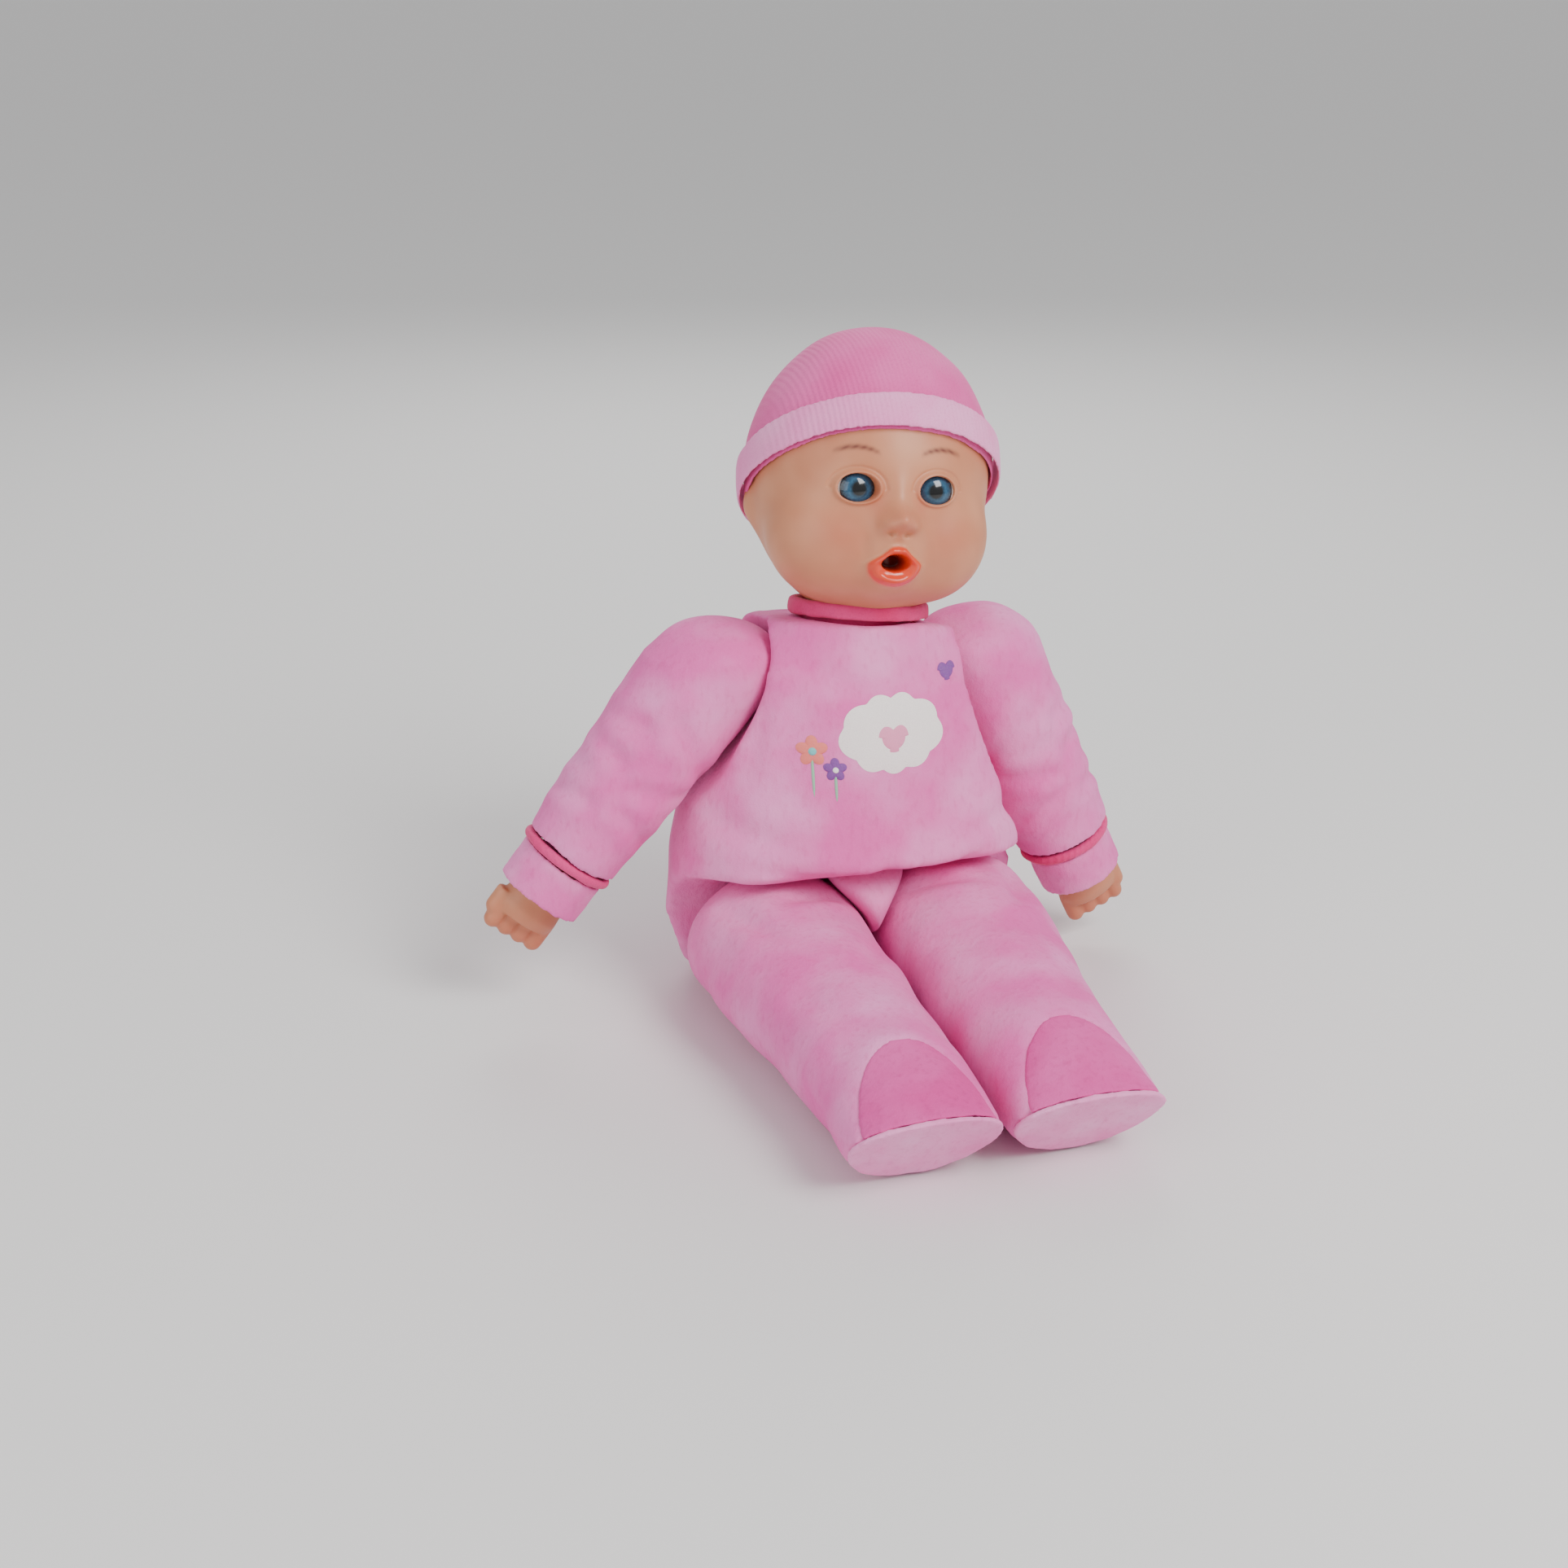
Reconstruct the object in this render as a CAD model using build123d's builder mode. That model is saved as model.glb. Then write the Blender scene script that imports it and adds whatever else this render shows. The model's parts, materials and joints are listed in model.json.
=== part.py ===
from build123d import *
import os
from math import cos, radians, sin

# A soft-bodied talking baby doll that sits with its legs out in front of it.
# It has a hollow vinyl head, vinyl hands, a stuffed cloth body in a velour suit, and a
# battery sound box inside the body.
#
# The frame: +Z is up, the doll faces -Y, the doll's left is +X, and the origin is the
# middle of the flat of the seat. Lengths are millimetres and angles are degrees.
# The sizes are given about the middle of the shoulders, and each piece is moved as it is
# exported, so that the middle of the seat comes to the origin.

os.makedirs("parts", exist_ok=True)

# ---- Clearances --------------------------------------------------------------------
swing_gap = 0.6        # between a limb or the head and what it swings past
cloth_gap = 0.1        # between a cloth skin and the stuffing behind it
guide_gap = 0.3        # between a moving plastic piece and its guide
fit_gap = 0.15         # between a fixed plastic piece and its pocket

# ---- Cloth -------------------------------------------------------------------------
suit_cloth = 1.5       # thickness of the velour suit
knit_cloth = 1.2       # thickness of the knitted hat
print_cloth = 0.8      # thickness of the patch on the chest
tape_cloth = 1.0       # thickness of each half of the hook-and-loop tape

# ---- Torso -------------------------------------------------------------------------
neck_seat_height = 160       # top of the torso before the neck trims it
seat_half_width = 54         # half sizes of the flat that the doll sits on
seat_half_depth = 38
seat_setback = 8             # Y of the middle of the torso's bottom
hip_half_width = 75          # the torso at its widest
hip_half_depth = 53
hip_level = 34
chest_half_width = 61
chest_half_depth = 43
chest_level = 118
shoulder_half_width = 47
shoulder_half_depth = 34
shoulder_level = 150

# ---- Legs --------------------------------------------------------------------------
hip_spread = 37              # from the middle of the body to the middle of a thigh
hip_setback = -22            # Y of the hip line, which the legs swing about
thigh_radius = 28            # of the thigh's round end, seen from the side
thigh_half_width = 35
ankle_spread = 30
ankle_half_width = 27.5
ankle_radius = 23.5
knee_y = -100
ankle_y = -145
heel_y = -160                # where the sole meets the ground
toe_y = -184                 # the tip of the toes, at the top of the sole
toe_height = 33
sole_cloth = 2.0             # the sole is a padded piece
patch_half_width = 24        # half-moon patch on top of the foot
patch_half_length = 38
leg_raise_limit = 15         # degrees that a leg swings up from the seat
seat_front = hip_setback + thigh_radius + swing_gap      # the flat starts behind the legs
seat_middle = (seat_front + seat_setback + seat_half_depth) / 2

# ---- Arms --------------------------------------------------------------------------
shoulder_spread = 54         # from the middle of the body to a shoulder's centre
left_shoulder_height = 136
right_shoulder_height = 140
left_arm_lean = 26           # degrees that an arm hangs out from straight down
right_arm_lean = 39
shoulder_radius = 25
sleeve_length = 94           # from the shoulder's centre to the piping
sleeve_end_radius = 19.5
sleeve_end_padding = 8       # the stuffing stops this far above the piping
piping_radius = 2.2
cuff_radius = 17.5
cuff_length = 17

# ---- Hands -------------------------------------------------------------------------
wrist_radius = 14.5
wrist_length = 15            # the part of the hand that the cuff hides
wrist_groove_depth = 2
wrist_tie_width = 3.5
palm_half_width = 13
palm_half_depth = 9.5
palm_length = 15
finger_radius = 3.7
finger_length = 9
finger_spacing = 6.4
thumb_radius = 3.9
thumb_length = 8

# ---- Head --------------------------------------------------------------------------
head_centre = (7.2, 0.2, 207.7)
head_pitch = -10             # degrees; the face looks up a little
head_roll = 5                # the crown leans to the doll's left
head_yaw = -5                # the face turns to the doll's right
skull_radius = 46
skull_half_height = 54
face_reach = 34              # the muzzle's half length, front to back
face_radius = 27
face_forward = 14
face_below = 20
vinyl_wall = 3.0
nose_radius = 5.5
nose_forward = 46.5
nose_below = 13.6

# ---- Neck --------------------------------------------------------------------------
neck_radius = 19
neck_bore_radius = 13
neck_foot_below = 66         # below the head's centre, along the neck
neck_setback = 4             # the neck stands this far behind the head's centre
neck_groove_radius = 16.2
neck_groove_below = 61
neck_tie_width = 3
collar_base_below = 55       # the torso is trimmed flat here
collar_height = 5.5
collar_inner_radius = 23.5
collar_outer_radius = 28.5

# ---- Eyes --------------------------------------------------------------------------
eye_radius = 11.5
eye_spacing = 14.8           # from the middle of the face to an eye's centre
eye_forward = 33.5
eye_below = 3.3
eye_back = 4                 # the globe is flat this far in front of its centre
iris_radius = 6.3
iris_thickness = 0.8
iris_sunk = 2.0              # depth of the iris behind the globe's front

# ---- Neck post, inside the skull -----------------------------------------------------
neck_top_below = 37.8
neck_bore_top_below = 27

# ---- Mouth -------------------------------------------------------------------------
mouth_below = 30
mouth_bore_radius = 4.5
mouth_bore_length = 12
mouth_front = 45.0           # Y of the lips' face, in front of the head's centre
mouth_tube_radius = 7.5      # the lips' face is flat this far round the bore
mouth_travel = 1.5
plunger_radius = 5.0         # wider than the bore, so its shoulder keeps the plunger in
plunger_thickness = 2.5
plunger_stem_radius = 2.0
mouth_switch_depth = 9
mouth_switch_half_width = 8
mouth_switch_half_height = 6

# ---- Hat ---------------------------------------------------------------------------
brim_front_height = 19.3     # lower edge of the brim above the head's centre, in front
brim_tilt = 30               # degrees that the brim drops towards the back
brim_width = 13
hat_gap = 0.3

# ---- Sound box ---------------------------------------------------------------------
box_half_width = 31
box_low = 45
box_high = 112
box_front = 3.5              # Y of the box's front and back faces
box_back = 36
box_parting = 18             # Y where the two halves meet
box_wall = 2.0
cell_radius = 7.1
cell_length = 50
cell_pitch = 15
cell_count = 3
contact_length = 2.2
door_half_width = 28.5
door_low = 51
door_high = 103
door_thickness = 2.0
door_ledge = 0.9             # what the door rests on round the battery bay
door_screw_bite = 5
screw_radius = 1.4
screw_head_radius = 2.8
screw_head_height = 1.6
screw_length = 8
case_screw_inset = 3.6
speaker_radius = 19
speaker_depth = 9
cone_depth = 4
magnet_radius = 9
board_half_width = 25
board_half_height = 24
board_thickness = 1.6
slider_travel = 4
slider_half_width = 3
slider_height = 107
slider_half_height = 1.5
slider_proud = 2.0

# ---- Belly switch ------------------------------------------------------------------
belly_level = 84
belly_button_radius = 12
belly_button_thickness = 3
belly_button_front = -44
belly_travel = 2.0
belly_switch_radius = 15
belly_switch_depth = 10
belly_stem_radius = 3

# ---- Back flap ---------------------------------------------------------------------
opening_half_width = 28
opening_low = 50
opening_high = 110
flap_overlap = 4
tape_height = 5
flap_cloth = 1.2

# ---- Chest patch -------------------------------------------------------------------
patch_level = 118
patch_lobe_radius = 13
patch_lobes = ((-19, -8), (0, -14), (19, -8), (-14, 10), (6, 14), (19, 6), (0, 0))

# ---- Values worked out from the sizes above ----------------------------------------
far = 400                    # longer than the doll, for cutting
arm_sides = {
    "left": (1, left_shoulder_height, left_arm_lean),
    "right": (-1, right_shoulder_height, right_arm_lean),
}
leg_sides = {"left": 1, "right": -1}


def upright(place):
    """The plane with place's X across and place's Z up, for profiles that are revolved."""
    return Plane(origin=place.origin, x_dir=place.x_dir, z_dir=-place.y_dir)


def seated(shape):
    """The shape moved from the middle of the shoulders to the middle of the seat."""
    return shape.moved(Location((0, -seat_middle, 0)))


def head_direction(x, y, z):
    """A direction given in the level head, turned with the head."""
    turned = Vector(x, y, z).rotate(Axis.X, head_pitch)
    return turned.rotate(Axis.Y, head_roll).rotate(Axis.Z, head_yaw)


def head_point(x, y, z):
    """A point given from the head's centre, in the head's own directions."""
    return Vector(*head_centre) + head_direction(x, y, z)


def head_plane(x, y, z):
    """A plane at a point of the head that lies along the head's own X and Y."""
    return Plane(
        origin=head_point(x, y, z),
        x_dir=head_direction(1, 0, 0),
        z_dir=head_direction(0, 0, 1),
    )


neck_plane = head_plane(0, neck_setback, 0)
neck_axis = Axis(neck_plane.origin, neck_plane.z_dir)


def ring_form(place, inner, outer, low, high):
    """A tube about place's Z axis, between two heights of that axis."""
    with BuildPart() as form:
        with BuildSketch(place.offset(low)):
            Circle(outer)
            if inner > 0:
                Circle(inner, mode=Mode.SUBTRACT)
        extrude(amount=high - low)
    return form.part


def spheroid_form(place, radius, half_length):
    """A spheroid about place's Z axis."""
    with BuildPart() as ball:
        Sphere(radius)
        if half_length != radius:
            scale(by=(1, 1, half_length / radius))
    return place.location * ball.part


def block_form(low, high):
    """A block from its lowest to its highest corner."""
    with BuildPart() as form:
        with BuildSketch(Plane.XY.offset(low[2])):
            with Locations(((low[0] + high[0]) / 2, (low[1] + high[1]) / 2)):
                Rectangle(high[0] - low[0], high[1] - low[1])
        extrude(amount=high[2] - low[2])
    return form.part


# ---- Limb roots, which the torso is cut back for ------------------------------------
def hip_room_form(grow):
    """The space that both legs sweep, as one prism right across the body."""
    reach = thigh_radius + swing_gap + grow
    raised = radians(leg_raise_limit)
    top = (hip_setback + reach * sin(raised), thigh_radius + reach * cos(raised))
    end = (top[0] - far * cos(raised), top[1] + far * sin(raised))
    with BuildPart() as form:
        with BuildSketch(Plane.YZ.offset(-far)):
            with Locations((hip_setback, thigh_radius)):
                Circle(reach)
            with BuildLine():
                Polyline(
                    (hip_setback, thigh_radius),
                    top,
                    end,
                    (end[0], -far),
                    (hip_setback + reach, -far),
                    (hip_setback + reach, thigh_radius),
                    close=True,
                )
            make_face()
        extrude(amount=2 * far)
    return form.part


def arm_plane(side, height, lean):
    """A plane at the shoulder: Z runs down the arm, X to the thumb's side."""
    return Plane(
        origin=(side * shoulder_spread, 0, height),
        x_dir=(side * cos(radians(lean)), 0, sin(radians(lean))),
        z_dir=(side * sin(radians(lean)), 0, -cos(radians(lean))),
    )


def arm_room_form(side, height, lean, grow):
    """The space that an arm sweeps past the body as it turns about the shoulder."""
    reach = shoulder_radius + swing_gap + grow
    hand_reach = sleeve_length + 2 * piping_radius + cuff_length + palm_length + finger_length
    across = sin(radians(lean))
    down = cos(radians(lean))
    end_radius = sleeve_end_radius + 2 * piping_radius + swing_gap + grow

    def inner_edge(along, radius):
        return (along * across - radius * down, along * down + radius * across)

    sleeve_point = inner_edge(sleeve_length, end_radius)
    hand_point = inner_edge(hand_reach, end_radius)
    start = inner_edge(0, reach)
    profile_plane = Plane(
        origin=(side * shoulder_spread, 0, height), x_dir=(side, 0, 0), z_dir=(0, side, 0)
    )
    with BuildPart() as form:
        with BuildSketch(profile_plane):
            with BuildLine():
                CenterArc((0, 0), reach, 180, -lean)
                Polyline(
                    start,
                    sleeve_point,
                    hand_point,
                    (hand_point[0] + far, hand_point[1]),
                    (far, 0),
                    (-reach, 0),
                )
            make_face()
        revolve(axis=Axis((0, 0, height), (1, 0, 0)))
    return form.part


def neck_room_form(grow):
    """The well for the head's neck, and the space over the collar where the head turns."""
    with BuildPart() as form:
        with BuildSketch(neck_plane.offset(-neck_foot_below - 2 - grow)):
            Circle(collar_inner_radius - 2 + grow)
        extrude(amount=far)
        with BuildSketch(neck_plane.offset(-collar_base_below - grow)):
            Circle(far)
        extrude(amount=far)
    return form.part


def torso_form(inset):
    """The torso, drawn in from its outer face by inset."""
    sections = (
        (max(inset, 0), seat_half_width, seat_half_depth, seat_setback),
        (hip_level * 0.3, hip_half_width - 7, hip_half_depth - 5, 3),
        (hip_level, hip_half_width, hip_half_depth, 0),
        ((2 * hip_level + chest_level) / 3, hip_half_width - 2, hip_half_depth - 1, -1),
        ((hip_level + 2 * chest_level) / 3, chest_half_width + 6, chest_half_depth + 4, 0),
        (chest_level, chest_half_width, chest_half_depth, 1),
        (
            (chest_level + 2 * shoulder_level) / 3,
            (chest_half_width + 2 * shoulder_half_width) / 3 + 4,
            (chest_half_depth + 2 * shoulder_half_depth) / 3 + 1,
            1,
        ),
        (shoulder_level, shoulder_half_width, shoulder_half_depth, 0),
        (neck_seat_height, shoulder_half_width - 10, shoulder_half_depth - 3, -2),
    )
    with BuildPart() as form:
        for height, half_width, half_depth, centre_y in sections:
            with BuildSketch(Plane.XY.offset(height)):
                with Locations((0, centre_y)):
                    Ellipse(half_width - inset, half_depth - inset)
        loft(ruled=True)
        split(bisect_by=Plane.XY.offset(max(inset, 0)), keep=Keep.TOP)
    return form.part


def trimmed_torso(inset):
    """The torso form with room cut in it for the legs, the arms and the neck."""
    grow = max(inset, 0)
    whole = torso_form(inset)
    with BuildPart() as form:
        add(whole)
        add(hip_rooms[grow], mode=Mode.SUBTRACT)
        add(neck_rooms[grow], mode=Mode.SUBTRACT)
        for side in arm_sides:
            add(arm_rooms[side, grow], mode=Mode.SUBTRACT)
    return form.part


stuffing_inset = suit_cloth + cloth_gap
insets = (0, suit_cloth, stuffing_inset)
hip_rooms = {grow: hip_room_form(grow) for grow in insets}
neck_rooms = {grow: neck_room_form(grow) for grow in insets}
arm_rooms = {
    (name, grow): arm_room_form(*values, grow)
    for name, values in arm_sides.items()
    for grow in insets
}
suit_outside = trimmed_torso(0)
suit_inside = trimmed_torso(suit_cloth)
stuffing_outside = trimmed_torso(stuffing_inset)

# ---- Room for what the stuffing holds ------------------------------------------------
box_room = block_form(
    (-box_half_width - fit_gap, box_front - fit_gap, box_low - fit_gap),
    (box_half_width + fit_gap, box_back + fit_gap, box_high + fit_gap),
)
opening_room = block_form(
    (-opening_half_width, box_parting, opening_low),
    (opening_half_width, far, opening_high),
)
facing = Plane(origin=(0, 0, belly_level), x_dir=(1, 0, 0), z_dir=(0, -1, 0))
belly_back = -belly_button_front - belly_button_thickness - belly_travel - belly_switch_depth
belly_room = ring_form(facing, 0, belly_switch_radius + fit_gap, belly_back - 1, far)

# ---- Torso nodes ---------------------------------------------------------------------
with BuildPart() as torso_stuffing:
    add(stuffing_outside)
    add(box_room, mode=Mode.SUBTRACT)
    add(opening_room, mode=Mode.SUBTRACT)
    add(belly_room, mode=Mode.SUBTRACT)
torso_stuffing.part.label = "torso_stuffing"

with BuildPart() as suit_front:
    add(suit_outside)
    add(suit_inside, mode=Mode.SUBTRACT)
    split(bisect_by=Plane.XZ, keep=Keep.TOP)
suit_front.part.label = "suit_front"

with BuildPart() as suit_back:
    add(suit_outside)
    add(suit_inside, mode=Mode.SUBTRACT)
    split(bisect_by=Plane.XZ, keep=Keep.BOTTOM)
    add(opening_room, mode=Mode.SUBTRACT)
suit_back.part.label = "suit_back"

# The collar: a flat bound ring under the chin, with a cloth tube down round the neck.
tube_inner = neck_radius + swing_gap
tube_outer = collar_inner_radius - 2 - cloth_gap
with BuildPart() as neck_binding:
    with BuildSketch(upright(neck_plane)):
        with BuildLine():
            Polyline(
                (tube_inner, -neck_foot_below),
                (tube_outer, -neck_foot_below),
                (tube_outer, -collar_base_below + cloth_gap),
                (collar_outer_radius, -collar_base_below + cloth_gap),
                (collar_outer_radius, -collar_base_below + collar_height),
                (collar_inner_radius, -collar_base_below + collar_height),
                (collar_inner_radius, -collar_base_below + 2),
                (tube_inner, -collar_base_below + 2),
                close=True,
            )
        make_face()
    revolve(axis=neck_axis)
    fillet(neck_binding.edges().filter_by(GeomType.CIRCLE).group_by(neck_axis)[-1], 1.6)
neck_binding.part.label = "neck_binding"

neck_tie_low = -neck_groove_below + fit_gap
neck_tie_part = ring_form(
    neck_plane,
    neck_groove_radius + guide_gap,
    tube_inner,
    neck_tie_low,
    neck_tie_low + neck_tie_width - 2 * fit_gap,
)
with BuildPart() as neck_tie:
    add(neck_tie_part)
neck_tie.part.label = "neck_tie"

# ---- Chest patch and back flap ---------------------------------------------------------
patch_outside = torso_form(-print_cloth)
with BuildPart() as patch_prism:
    with BuildSketch(Plane(origin=(0, 0, patch_level), x_dir=(1, 0, 0), z_dir=(0, -1, 0))):
        with Locations(*patch_lobes):
            Circle(patch_lobe_radius)
    extrude(amount=far)
bare_torso = torso_form(0)
with BuildPart() as chest_patch:
    add(patch_outside)
    add(bare_torso, mode=Mode.SUBTRACT)
    add(patch_prism.part, mode=Mode.INTERSECT)
chest_patch.part.label = "chest_patch"

tape_stack = 2 * tape_cloth + fit_gap
flap_half_width = opening_half_width + flap_overlap
flap_low = opening_low - tape_height - flap_overlap
flap_high = opening_high + flap_overlap
tape_low = opening_low - tape_height - 1
flap_block = block_form((-flap_half_width, box_parting, flap_low), (flap_half_width, far, flap_high))
tape_block = block_form(
    (-opening_half_width, box_parting, tape_low), (opening_half_width, far, tape_low + tape_height)
)
hook_outside = torso_form(-tape_cloth)
loop_inside = torso_form(-tape_cloth - fit_gap)
flap_inside = torso_form(-tape_stack)
flap_outside = torso_form(-tape_stack - flap_cloth)

with BuildPart() as flap_hook_tape:
    add(hook_outside)
    add(bare_torso, mode=Mode.SUBTRACT)
    add(tape_block, mode=Mode.INTERSECT)
flap_hook_tape.part.label = "flap_hook_tape"

with BuildPart() as flap_loop_tape:
    add(flap_inside)
    add(loop_inside, mode=Mode.SUBTRACT)
    add(tape_block, mode=Mode.INTERSECT)
flap_loop_tape.part.label = "flap_loop_tape"

with BuildPart() as back_flap:
    add(flap_outside)
    add(flap_inside, mode=Mode.SUBTRACT)
    add(flap_block, mode=Mode.INTERSECT)
back_flap.part.label = "back_flap"

# ---- Sound box -------------------------------------------------------------------------
box_middle = (box_low + box_high) / 2
door_middle = (door_low + door_high) / 2
bay_half_height = cell_count * cell_pitch / 2 + fit_gap
bay_middle = door_low + door_ledge + bay_half_height
bay_half_width = cell_length / 2 + contact_length
bay_floor = box_back - door_thickness - 2 * cell_radius - 2 * fit_gap
screw_posts = [
    (x * (box_half_width - case_screw_inset), z)
    for x in (-1, 1)
    for z in (box_low + case_screw_inset, box_high - case_screw_inset)
]
post_radius = screw_radius + 1.6
slider_slot_half = slider_half_width + slider_travel / 2 + guide_gap


def box_plane(y):
    """An upright plane across the body at y whose normal is -Y."""
    return Plane.XZ.offset(-y)


with BuildPart() as sound_case_front:
    with BuildSketch(box_plane(box_parting)):
        with Locations((0, box_middle)):
            Rectangle(2 * box_half_width, box_high - box_low)
    extrude(amount=box_parting - box_front)
    fillet(sound_case_front.faces().sort_by(Axis.Y)[0].edges(), 1.5)
    with BuildSketch(box_plane(box_parting)):
        with Locations((0, box_middle)):
            Rectangle(2 * (box_half_width - box_wall), box_high - box_low - 2 * box_wall)
    extrude(amount=box_parting - box_front - box_wall, mode=Mode.SUBTRACT)
    with BuildSketch(box_plane(box_parting)):
        with Locations(*screw_posts):
            Circle(post_radius)
    extrude(amount=box_parting - box_front - box_wall / 2)
    with BuildSketch(box_plane(box_parting)):
        with Locations(*screw_posts):
            Circle(screw_radius)
    extrude(amount=screw_length, mode=Mode.SUBTRACT)
    with BuildSketch(box_plane(box_parting)):
        with Locations((0, box_middle)):
            with PolarLocations(9, 8):
                Circle(1.6)
            Circle(1.6)
    extrude(amount=far, mode=Mode.SUBTRACT)
sound_case_front.part.label = "sound_case_front"

door_room = 2 * fit_gap
door_screw_z = door_high - screw_head_radius - 1
with BuildPart() as sound_case_rear:
    with BuildSketch(box_plane(box_back)):
        with Locations((0, box_middle)):
            Rectangle(2 * box_half_width, box_high - box_low)
    extrude(amount=box_back - box_parting)
    fillet(sound_case_rear.faces().sort_by(Axis.Y)[-1].edges(), 1.5)
    with BuildSketch(box_plane(box_back)):
        with Locations((0, door_middle)):
            Rectangle(2 * door_half_width + door_room, door_high - door_low + door_room)
    extrude(amount=door_thickness, mode=Mode.SUBTRACT)
    with BuildSketch(box_plane(box_back - door_thickness)):
        with Locations((0, bay_middle)):
            Rectangle(2 * bay_half_width, 2 * bay_half_height)
    extrude(amount=box_back - door_thickness - bay_floor, mode=Mode.SUBTRACT)
    with BuildSketch(box_plane(box_back)):
        with Locations(*screw_posts):
            Circle(screw_radius + fit_gap)
    extrude(amount=box_back - box_parting, mode=Mode.SUBTRACT)
    with BuildSketch(box_plane(box_back)):
        with Locations(*screw_posts):
            Circle(screw_head_radius + fit_gap)
    extrude(amount=box_back - box_parting - screw_length, mode=Mode.SUBTRACT)
    with BuildSketch(box_plane(box_back)):
        with Locations((0, door_screw_z)):
            Circle(screw_radius)
    extrude(amount=door_thickness + door_screw_bite, mode=Mode.SUBTRACT)
    with BuildSketch(box_plane(box_back)):
        with Locations((0, slider_height)):
            Rectangle(2 * slider_slot_half, 2 * (slider_half_height + guide_gap))
    extrude(amount=box_wall + 2, mode=Mode.SUBTRACT)
sound_case_rear.part.label = "sound_case_rear"

with BuildPart() as battery_door:
    with BuildSketch(box_plane(box_back)):
        with Locations((0, door_middle)):
            RectangleRounded(2 * door_half_width, door_high - door_low, 1.5)
    extrude(amount=door_thickness)
    with BuildSketch(box_plane(box_back)):
        with Locations((0, door_screw_z)):
            Circle(screw_radius + fit_gap)
    extrude(amount=door_thickness, mode=Mode.SUBTRACT)
    with BuildSketch(box_plane(box_back)):
        with Locations((0, door_low + 12)):
            with GridLocations(0, 4, 1, 5):
                Rectangle(18, 1.2)
    extrude(amount=0.6, mode=Mode.SUBTRACT)
battery_door.part.label = "battery_door"

with BuildPart() as battery_door_screw:
    with BuildSketch(box_plane(box_back + screw_head_height)):
        with Locations((0, door_screw_z)):
            Circle(screw_head_radius)
    extrude(amount=screw_head_height)
    with BuildSketch(box_plane(box_back)):
        with Locations((0, door_screw_z)):
            Circle(screw_radius)
    extrude(amount=door_thickness + door_screw_bite)
    with BuildSketch(box_plane(box_back + screw_head_height)):
        with Locations((0, door_screw_z)):
            Rectangle(3.2, 0.8)
            Rectangle(0.8, 3.2)
    extrude(amount=0.8, mode=Mode.SUBTRACT)
battery_door_screw.part.label = "battery_door_screw"

case_screw_seat = box_parting + screw_length
with BuildPart() as case_screws:
    with BuildSketch(box_plane(case_screw_seat + screw_head_height)):
        with Locations(*screw_posts):
            Circle(screw_head_radius)
    extrude(amount=screw_head_height)
    with BuildSketch(box_plane(case_screw_seat)):
        with Locations(*screw_posts):
            Circle(screw_radius)
    extrude(amount=2 * screw_length - 1)
case_screws.part.label = "case_screws"

cell_y = box_back - door_thickness - cell_radius - fit_gap
cell_levels = [
    bay_middle + (row - (cell_count - 1) / 2) * cell_pitch for row in range(cell_count)
]
with BuildPart() as battery_cells:
    for level in cell_levels:
        with BuildSketch(Plane.YZ.offset(-cell_length / 2)):
            with Locations((cell_y, level)):
                Circle(cell_radius)
        extrude(amount=cell_length - 1)
        with BuildSketch(Plane.YZ.offset(cell_length / 2 - 1)):
            with Locations((cell_y, level)):
                Circle(cell_radius * 0.38)
        extrude(amount=1)
battery_cells.part.label = "battery_cells"

with BuildPart() as battery_contacts:
    for level in cell_levels:
        with BuildSketch(Plane.YZ.offset(cell_length / 2)):
            with Locations((cell_y, level)):
                Rectangle(cell_radius, cell_radius)
        extrude(amount=contact_length)
        with BuildSketch(Plane.YZ.offset(-bay_half_width)):
            with Locations((cell_y, level)):
                Circle(cell_radius * 0.6)
                Circle(cell_radius * 0.6 - 0.9, mode=Mode.SUBTRACT)
        extrude(amount=contact_length)
battery_contacts.part.label = "battery_contacts"

# The speaker fires forwards through the holes in the front half of the box.
speaker_face = box_front + box_wall
speaker_plane = Plane(
    origin=(0, speaker_face, box_middle), x_dir=(1, 0, 0), z_dir=(0, 1, 0)
)
speaker_axis = Axis(speaker_plane.origin, speaker_plane.z_dir)
with BuildPart() as speaker_frame:
    with BuildSketch(upright(speaker_plane)):
        with BuildLine():
            Polyline(
                (speaker_radius, 0),
                (speaker_radius, 1.2),
                (magnet_radius + 1, speaker_depth - magnet_radius / 3),
                (0, speaker_depth - magnet_radius / 3),
                (0, speaker_depth - magnet_radius / 3 - 1),
                (magnet_radius, speaker_depth - magnet_radius / 3 - 1),
                (speaker_radius - 1.2, 1.2),
                (speaker_radius - 1.2, 0),
                close=True,
            )
        make_face()
    revolve(axis=speaker_axis)
speaker_frame.part.label = "speaker_frame"

cone_back = min(cone_depth, speaker_depth - magnet_radius / 3 - 1.2)
with BuildPart() as speaker_cone:
    with BuildSketch(upright(speaker_plane)):
        with BuildLine():
            Polyline(
                (speaker_radius - 1.4, 0.2),
                (speaker_radius - 1.4, 0.8),
                (magnet_radius / 2, cone_back),
                (0, cone_back - 1),
                (0, cone_back - 1.6),
                (magnet_radius / 2, cone_back - 0.6),
                (speaker_radius - 3, 0.2),
                close=True,
            )
        make_face()
    revolve(axis=speaker_axis)
speaker_cone.part.label = "speaker_cone"

magnet_face = speaker_depth - magnet_radius / 3
speaker_magnet_part = ring_form(speaker_plane, 0, magnet_radius, magnet_face, speaker_depth)
with BuildPart() as speaker_magnet:
    add(speaker_magnet_part)
speaker_magnet.part.label = "speaker_magnet"

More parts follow.
